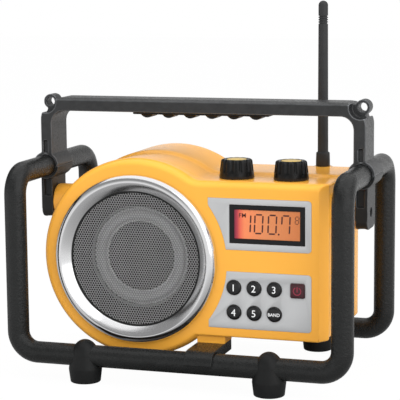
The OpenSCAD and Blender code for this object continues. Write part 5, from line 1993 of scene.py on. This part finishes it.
    def power_key(self) -> None:
        """Makes the square key with its ring and bar."""
        top, (x, z) = self.face_y - self.proud, self.power
        steps = [(0.9, top), (0.35, top + 0.25), (0.0, top + 0.8), (0.0, -54.5)]
        rows = [[Vector((u, y, v)) for u, v in self.power_outline(-s)] for s, y in steps]
        cap = Draft().rings(rows, cap=True)
        h = self.power_w / 2 + 1.2
        cap.slab(rounded_rectangle(x - h, x + h, z - h, z + h, 1.0, 3), *self.flange_y)
        made = cap.build("button_power_cap", KEY_RED.material(), 35.0)
        settle(made, "key_power", ["button_power"])
        outer, inner = (arc(x, z, r, 118, 422, 40) for r in self.power_r)
        half, foot = self.power_bar
        low, high = z + foot, z + self.power_r[0]
        bar = [(x - half, low), (x + half, low), (x + half, high), (x - half, high)]
        sign = Draft()
        for outline in ([*outer, *reversed(inner)], bar):
            sign.slab(outline, top - 0.03, top + 0.05)
        symbol = sign.build("button_power_symbol", INK_RED.material())
        settle(symbol, "key_power")

    def build(self, solids: Solids) -> None:
        """Makes the overlays, the display and the keys.

        Args:
            solids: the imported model's solids.
        """
        self.overlays()
        self.display()
        for word, (x, z) in zip(("1", "2", "3", "4", "5", "band"), self.key_places()):
            self.round_key(f"button_{word}", f"key_{word}", x, z, word.upper())
        self.power_key()
        solids.dress(DISC_PAINT, "lcd_module")
        solids.dress(BOARD, "display_board")
        solids.dress(NYLON, "key_switches")


# ---- Knobs and aerial ----

# Heights of a knob's rings above its foot, closer together at the skirt's end and the top edge
KNOB_LEVELS = (
    0.0, 0.5, 2.5, 5.0, 5.6, 6.4, 7.5, 9.0, 10.5, 12.0, 13.2, 14.0, 14.7, 15.2, 15.6, 15.87, 16.0,
)


@dataclass
class TopControls:
    """Two fluted knobs with their coloured discs, and the aerial."""

    volume_x: float = 35.4
    tuning_x: float = 83.0
    knob_y: float = -20.0
    knob_z: float = 169.8
    knob_r: float = 15.0
    knob_h: float = 16.0
    flutes: int = 12
    disc_r: float = 8.5
    aerial_x: float = 91.3
    aerial_y: float = 57.0
    aerial_foot: float = 171.8
    aerial_top: float = 316.5
    aerial_r: float = 4.65
    skirt_z: float = 5.0
    flute_depth: float = 1.25
    top_round: float = 1.8
    draw_in: float = 1.9
    bore_r: float = 3.1
    hub_r: float = 7.0
    hub_deep: float = 3.5
    collar_h: float = 12.5
    grooves: int = 4
    groove_step: float = 2.0
    groove_deep: float = 0.75
    grooves_below: float = 20.0

    def knob_radius(self, z: float, turn: float) -> float:
        """Gives the knob's radius at a height and angle.

        Args:
            z: height above the knob's foot.
            turn: angle in radians.

        Returns:
            The radius.
        """
        h, corner = self.knob_h, self.top_round
        plain = self.knob_r - self.draw_in * z / h - (0.4 if z < 0.3 else 0.0)
        if z > h - corner:
            plain -= corner - math.sqrt(max(0.0, corner * corner - (z - h + corner) ** 2))
        wave = (1 + math.cos(self.flutes * turn)) / 2
        start = min(1.0, max(0.0, (z - self.skirt_z) / 2.0))
        depth = self.flute_depth * start * (0.75 + 0.25 * z / h)
        return plain - depth * max(0.0, (wave - 0.45) / 0.55) ** 1.3

    def knob(self, x: float, name: str) -> bpy.types.Object:
        """A knob: plain skirt, scallops that deepen towards the top edge, a dished top.

        Args:
            x: its axis.
            name: the piece's name.

        Returns:
            The piece.
        """
        h, r, foot, deep = self.knob_h, self.disc_r, self.knob_z, self.hub_deep
        steps = 12 * self.flutes
        turns = [2 * math.pi * k / steps for k in range(steps)]
        centre = (x, self.knob_y, 0.0)

        def plain(radius: float, z: float) -> list[Vector]:
            """A round ring at a height above the knob's foot."""
            return [Axis.Z.point(centre, radius, foot + z, t) for t in turns]

        rows = [plain(self.bore_r, deep), plain(self.hub_r, deep), plain(self.hub_r, 0.0)]
        rows += [
            [Axis.Z.point(centre, self.knob_radius(z, t), foot + z, t) for t in turns]
            for z in KNOB_LEVELS
        ]
        rows += [
            plain(radius, z) for radius, z in (
                (r + 1.6, h), (r + 0.5, h - 0.25), (r + 0.15, h - 0.5), (r + 0.1, h - 0.8),
                (0.0, h - 0.8),
            )
        ]
        return Draft().rings(rows).build(name, KNOB_SATIN.material(), 50.0)

    def disc(self, x: float, name: str) -> bpy.types.Object:
        """The coloured disc in a knob's top, slightly crowned.

        Args:
            x: its axis.
            name: the piece's name.

        Returns:
            The piece.
        """
        z, r = self.knob_z + self.knob_h, self.disc_r
        outline = [
            (0.0, z - 0.8), (r, z - 0.8), (r, z - 0.35), (r - 0.3, z - 0.12), (r * 0.6, z + 0.05),
            (0.0, z + 0.1),
        ]
        made = Draft().spin(Axis.Z, (x, self.knob_y, 0.0), outline, 64)
        return made.build(name, DISC_PAINT.material(), 50.0)

    def aerial(self) -> bpy.types.Object:
        """The flexible rod: collar, slow taper, grooves and a rounded tip.

        Returns:
            The piece.
        """
        foot, top, r, collar = self.aerial_foot, self.aerial_top, self.aerial_r, self.collar_h
        tip, start = r - 0.5, foot + collar + 0.5
        outline = [
            (0.0, foot - 10), (2.4, foot - 10), (2.4, foot - 0.4), (5.6, foot - 0.4), (6.0, foot),
            (6.2, foot + 0.6), (6.15, foot + 6), (5.95, foot + 11.6), (5.7, foot + 12.2),
            (5.2, foot + collar), (r + 0.1, foot + collar), (r, start),
        ]
        grooves = top - self.grooves_below
        span = grooves - start - 0.4
        outline += [(r - (r - tip) * k / 10, start + span * k / 10) for k in range(1, 11)]
        low = tip - self.groove_deep
        for i in range(self.grooves):
            z = grooves + self.groove_step * i
            outline += [(tip, z), (low, z + 0.12), (low, z + 0.88), (tip, z + 1.0), (tip, z + 1.8)]
        outline += bow(0.0, top - tip, tip, tip, range(0, 91, 10))
        piece = Draft().spin(Axis.Z, (self.aerial_x, self.aerial_y, 0.0), outline, 48)
        return piece.build("aerial_whip", AERIAL_SLEEVE.material(), 40.0)

    def build(self, solids: Solids) -> None:
        """Makes the knobs, discs and aerial, and dresses what lies under them.

        Args:
            solids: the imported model's solids.
        """
        for x, word in ((self.volume_x, "volume"), (self.tuning_x, "tuning")):
            settle(self.knob(x, f"{word}_knob_fluted"), word, [f"{word}_knob"])
            settle(self.disc(x, f"{word}_knob_disc"), word, [f"{word}_disc"])
        settle(self.aerial(), ROOT_BODY, ["aerial_rod"])
        shafts = ("volume_shaft", "tuning_shaft", "volume_pot", "tuning_encoder", "control_nuts")
        solids.dress(ZINC, *shafts)
        solids.dress(BRASS, "aerial_socket")


# ---- Rear ----


@dataclass
class RearFittings:
    """Battery bay with its door, and the jacks with their flap."""

    door_voxel_mm: float = 0.55
    flap_voxel_mm: float = 0.35

    def build(self, solids: Solids) -> None:
        """Makes the door and the flap, and dresses the bay and the jacks.

        Args:
            solids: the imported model's solids.
        """
        door = solids.moulded(
            "battery_door", "battery_door_panel", YELLOW_ABS, self.door_voxel_mm, relax=2, keep=0.3
        )
        settle(door, "door", ["battery_door"])
        flap = solids.moulded(
            "jack_cover", "jack_flap", RUBBER, self.flap_voxel_mm, relax=3, keep=0.4
        )
        settle(flap, "flap", ["jack_cover"])
        solids.dress(NYLON, "battery_tray", "jack_block")
        solids.dress(SLEEVE, "battery_cells")
        solids.dress(ZINC, "battery_contacts")


# ---- Studio ----


@dataclass
class Studio:
    """White room: floor, soft lamps, world and the camera of the photograph."""

    camera_at: tuple[float, float, float] = (423.6, -1298.0, 348.8)
    looks_at: tuple[float, float, float] = (-4.23, 0.0, 146.13)
    roll: float = -0.53
    focal_px: float = 1591.4
    frame_px: float = 400.0
    sensor_mm: float = 36.0
    clip: Pair = (0.05, 20.0)
    lamp_aim: tuple[float, float, float] = (0.0, 0.0, 0.1)
    floor_half: float = 6.0
    dark_way: tuple[float, float, float] = (-0.85, 0.48, 0.21)
    dim_floor_way: tuple[float, float, float] = (-0.87, 0.49, 0.0)
    floor_white: float = 0.97

    def camera(self) -> None:
        """Sets the camera at the photograph's place, with its slight roll."""
        data = bpy.data.cameras.new("camera")
        data.sensor_width = self.sensor_mm
        data.lens = data.sensor_width * self.focal_px / self.frame_px
        data.clip_start, data.clip_end = self.clip
        cam = add_object("camera", data)
        here, there = Vector(self.camera_at) * MM, Vector(self.looks_at) * MM
        turn = (there - here).to_track_quat("-Z", "Y").to_matrix().to_4x4()
        roll = Matrix.Rotation(math.radians(self.roll), 4, "Z")
        cam.matrix_world = Matrix.Translation(here) @ turn @ roll
        bpy.context.scene.camera = cam

    def lamp(
        self, name: str, at: Sequence[float], size: float, watts: float, mirrored: bool = True
    ) -> None:
        """Adds a square soft lamp that faces the object.

        Args:
            name: its name.
            at: its place, in metres.
            size: its side, in metres.
            watts: its power.
            mirrored: gloss shows the lamp, not only its light.
        """
        data = bpy.data.lights.new(name, "AREA")
        data.size = size
        data.energy = watts
        made = add_object(name, data)
        made.location = at
        made.rotation_mode = "QUATERNION"
        made.rotation_quaternion = (Vector(self.lamp_aim) - Vector(at)).to_track_quat("-Z", "Y")
        made.visible_glossy = mirrored

    @staticmethod
    def toward(
        tree: bpy.types.NodeTree, vector: bpy.types.NodeSocket, way: tuple[float, float, float]
    ) -> bpy.types.NodeSocket:
        """Adds a node that tells how far a vector runs along a direction."""
        kind = {"operation": "DOT_PRODUCT"}
        return add_node(tree, "ShaderNodeVectorMath", kind, {0: vector, 1: way}).outputs["Value"]

    def world(self) -> None:
        """Builds the room: white to the camera, and to gloss pale at the horizon.

        Gloss sees it darker above and at the rear left. As light it is dimmer on the left.
        """
        world = bpy.data.worlds.new("white_room")
        bpy.context.scene.world = world
        world.use_nodes = True
        tree = world.node_tree
        tree.nodes.clear()
        path = add_node(tree, "ShaderNodeLightPath").outputs
        way = add_node(tree, "ShaderNodeTexCoord").outputs["Generated"]
        apart = add_node(tree, "ShaderNodeSeparateXYZ", None, {"Vector": way}).outputs
        height = remap(tree, apart["Z"], (0.12, 0.45), (0.85, 0.3))
        dark_end = remap(tree, self.toward(tree, way, self.dark_way), (0.75, 0.93), (1.0, 0.15))
        room = maths(tree, "MULTIPLY", height, dark_end)
        side = remap(tree, apart["X"], (-0.6, 1.0), (0.42, 1.6))
        seen = maths(tree, "MAXIMUM", path["Is Camera Ray"], path["Is Transmission Ray"])
        level = side
        for share, other in ((path["Is Glossy Ray"], room), (seen, 1.0)):
            mix = {0: share, 2: level, 3: other}
            level = add_node(tree, "ShaderNodeMix", {"data_type": "FLOAT"}, mix).outputs[0]
        glow = add_node(
            tree, "ShaderNodeBackground", None, {"Color": (1, 1, 1, 1), "Strength": level}
        )
        add_node(tree, "ShaderNodeOutputWorld", None, {"Surface": glow.outputs[0]})

    def floor(self) -> None:
        """Builds a wide white floor that keeps a faint shadow.

        Gloss sees it dark close to the object and pale farther off, but for the rear left.
        """
        h = self.floor_half
        mesh = bpy.data.meshes.new("floor")
        mesh.from_pydata([(-h, -h, 0), (h, -h, 0), (h, h, 0), (-h, h, 0)], [], [(0, 1, 2, 3)])
        made = add_object("floor", mesh)
        paint = bpy.data.materials.new("white_paper_floor")
        paint.use_nodes = True
        tree = paint.node_tree
        tree.nodes.clear()
        path = add_node(tree, "ShaderNodeLightPath").outputs
        grey, white, dark = ((v, v, v, 1) for v in (0.45, 0.9, 0.08))
        paper = mixed(tree, path["Is Camera Ray"], grey, white)
        colour = mixed(tree, path["Is Glossy Ray"], paper, dark)
        matte = add_node(tree, "ShaderNodeBsdfDiffuse", None, {"Color": colour})
        glow = add_node(
            tree, "ShaderNodeEmission", None, {"Color": (1, 1, 1, 1), "Strength": 1.0}
        )
        shown = maths(tree, "MAXIMUM", path["Is Camera Ray"], path["Is Transmission Ray"])
        seen = maths(tree, "MULTIPLY", shown, self.floor_white)
        spot = add_node(tree, "ShaderNodeTexCoord").outputs["Object"]
        away = reach(tree, spot)
        aside = maths(tree, "DIVIDE", self.toward(tree, spot, self.dim_floor_way), away)
        near = remap(tree, away, (0.08, 0.14), (0.0, 0.35))
        far = remap(tree, away, (0.15, 0.5), (near, 0.85))
        sweep = maths(tree, "MULTIPLY", far, remap(tree, aside, (0.75, 0.95), (1.0, 0.3)))
        share = maths(tree, "MULTIPLY_ADD", path["Is Glossy Ray"], sweep, seen)
        both = {0: share, 1: matte.outputs[0], 2: glow.outputs[0]}
        surface = add_node(tree, "ShaderNodeMixShader", None, both)
        add_node(tree, "ShaderNodeOutputMaterial", None, {"Surface": surface.outputs[0]})
        mesh.materials.append(paint)
        made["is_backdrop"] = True

    def build(self) -> None:
        """Builds the camera, the lamps, the world and the floor."""
        self.camera()
        self.lamp("key_lamp", (-0.9, -1.4, 1.0), 2.4, 21.0, mirrored=False)
        self.lamp("top_lamp", (0.1, 0.2, 1.5), 2.8, 20.0)
        self.lamp("right_lamp", (1.5, -0.9, 0.9), 2.4, 17.0)
        self.world()
        self.floor()
        bpy.context.scene.view_settings.view_transform = "Standard"


def corners(box: tuple[Vector, Vector]) -> list[list[float]]:
    """A box as plain lists of numbers."""
    return [[round(c, 6) for c in corner] for corner in box]


def main() -> None:
    """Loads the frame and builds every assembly."""
    logging.basicConfig(level=logging.INFO, format="%(message)s")
    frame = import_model()
    solid_box = corners(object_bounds())
    solids = Solids(frame["nodes"])
    Studio().build()
    RollCage().build(solids)
    CarryHandle().build(solids)
    panel = ControlPanel()
    Housing().build(solids, panel.cutters())
    Speaker().build(solids)
    panel.build(solids)
    TopControls().build(solids)
    RearFittings().build(solids)
    {"solids": solid_box, "pieces": corners(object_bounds())}


if __name__ == "__main__":
    main()
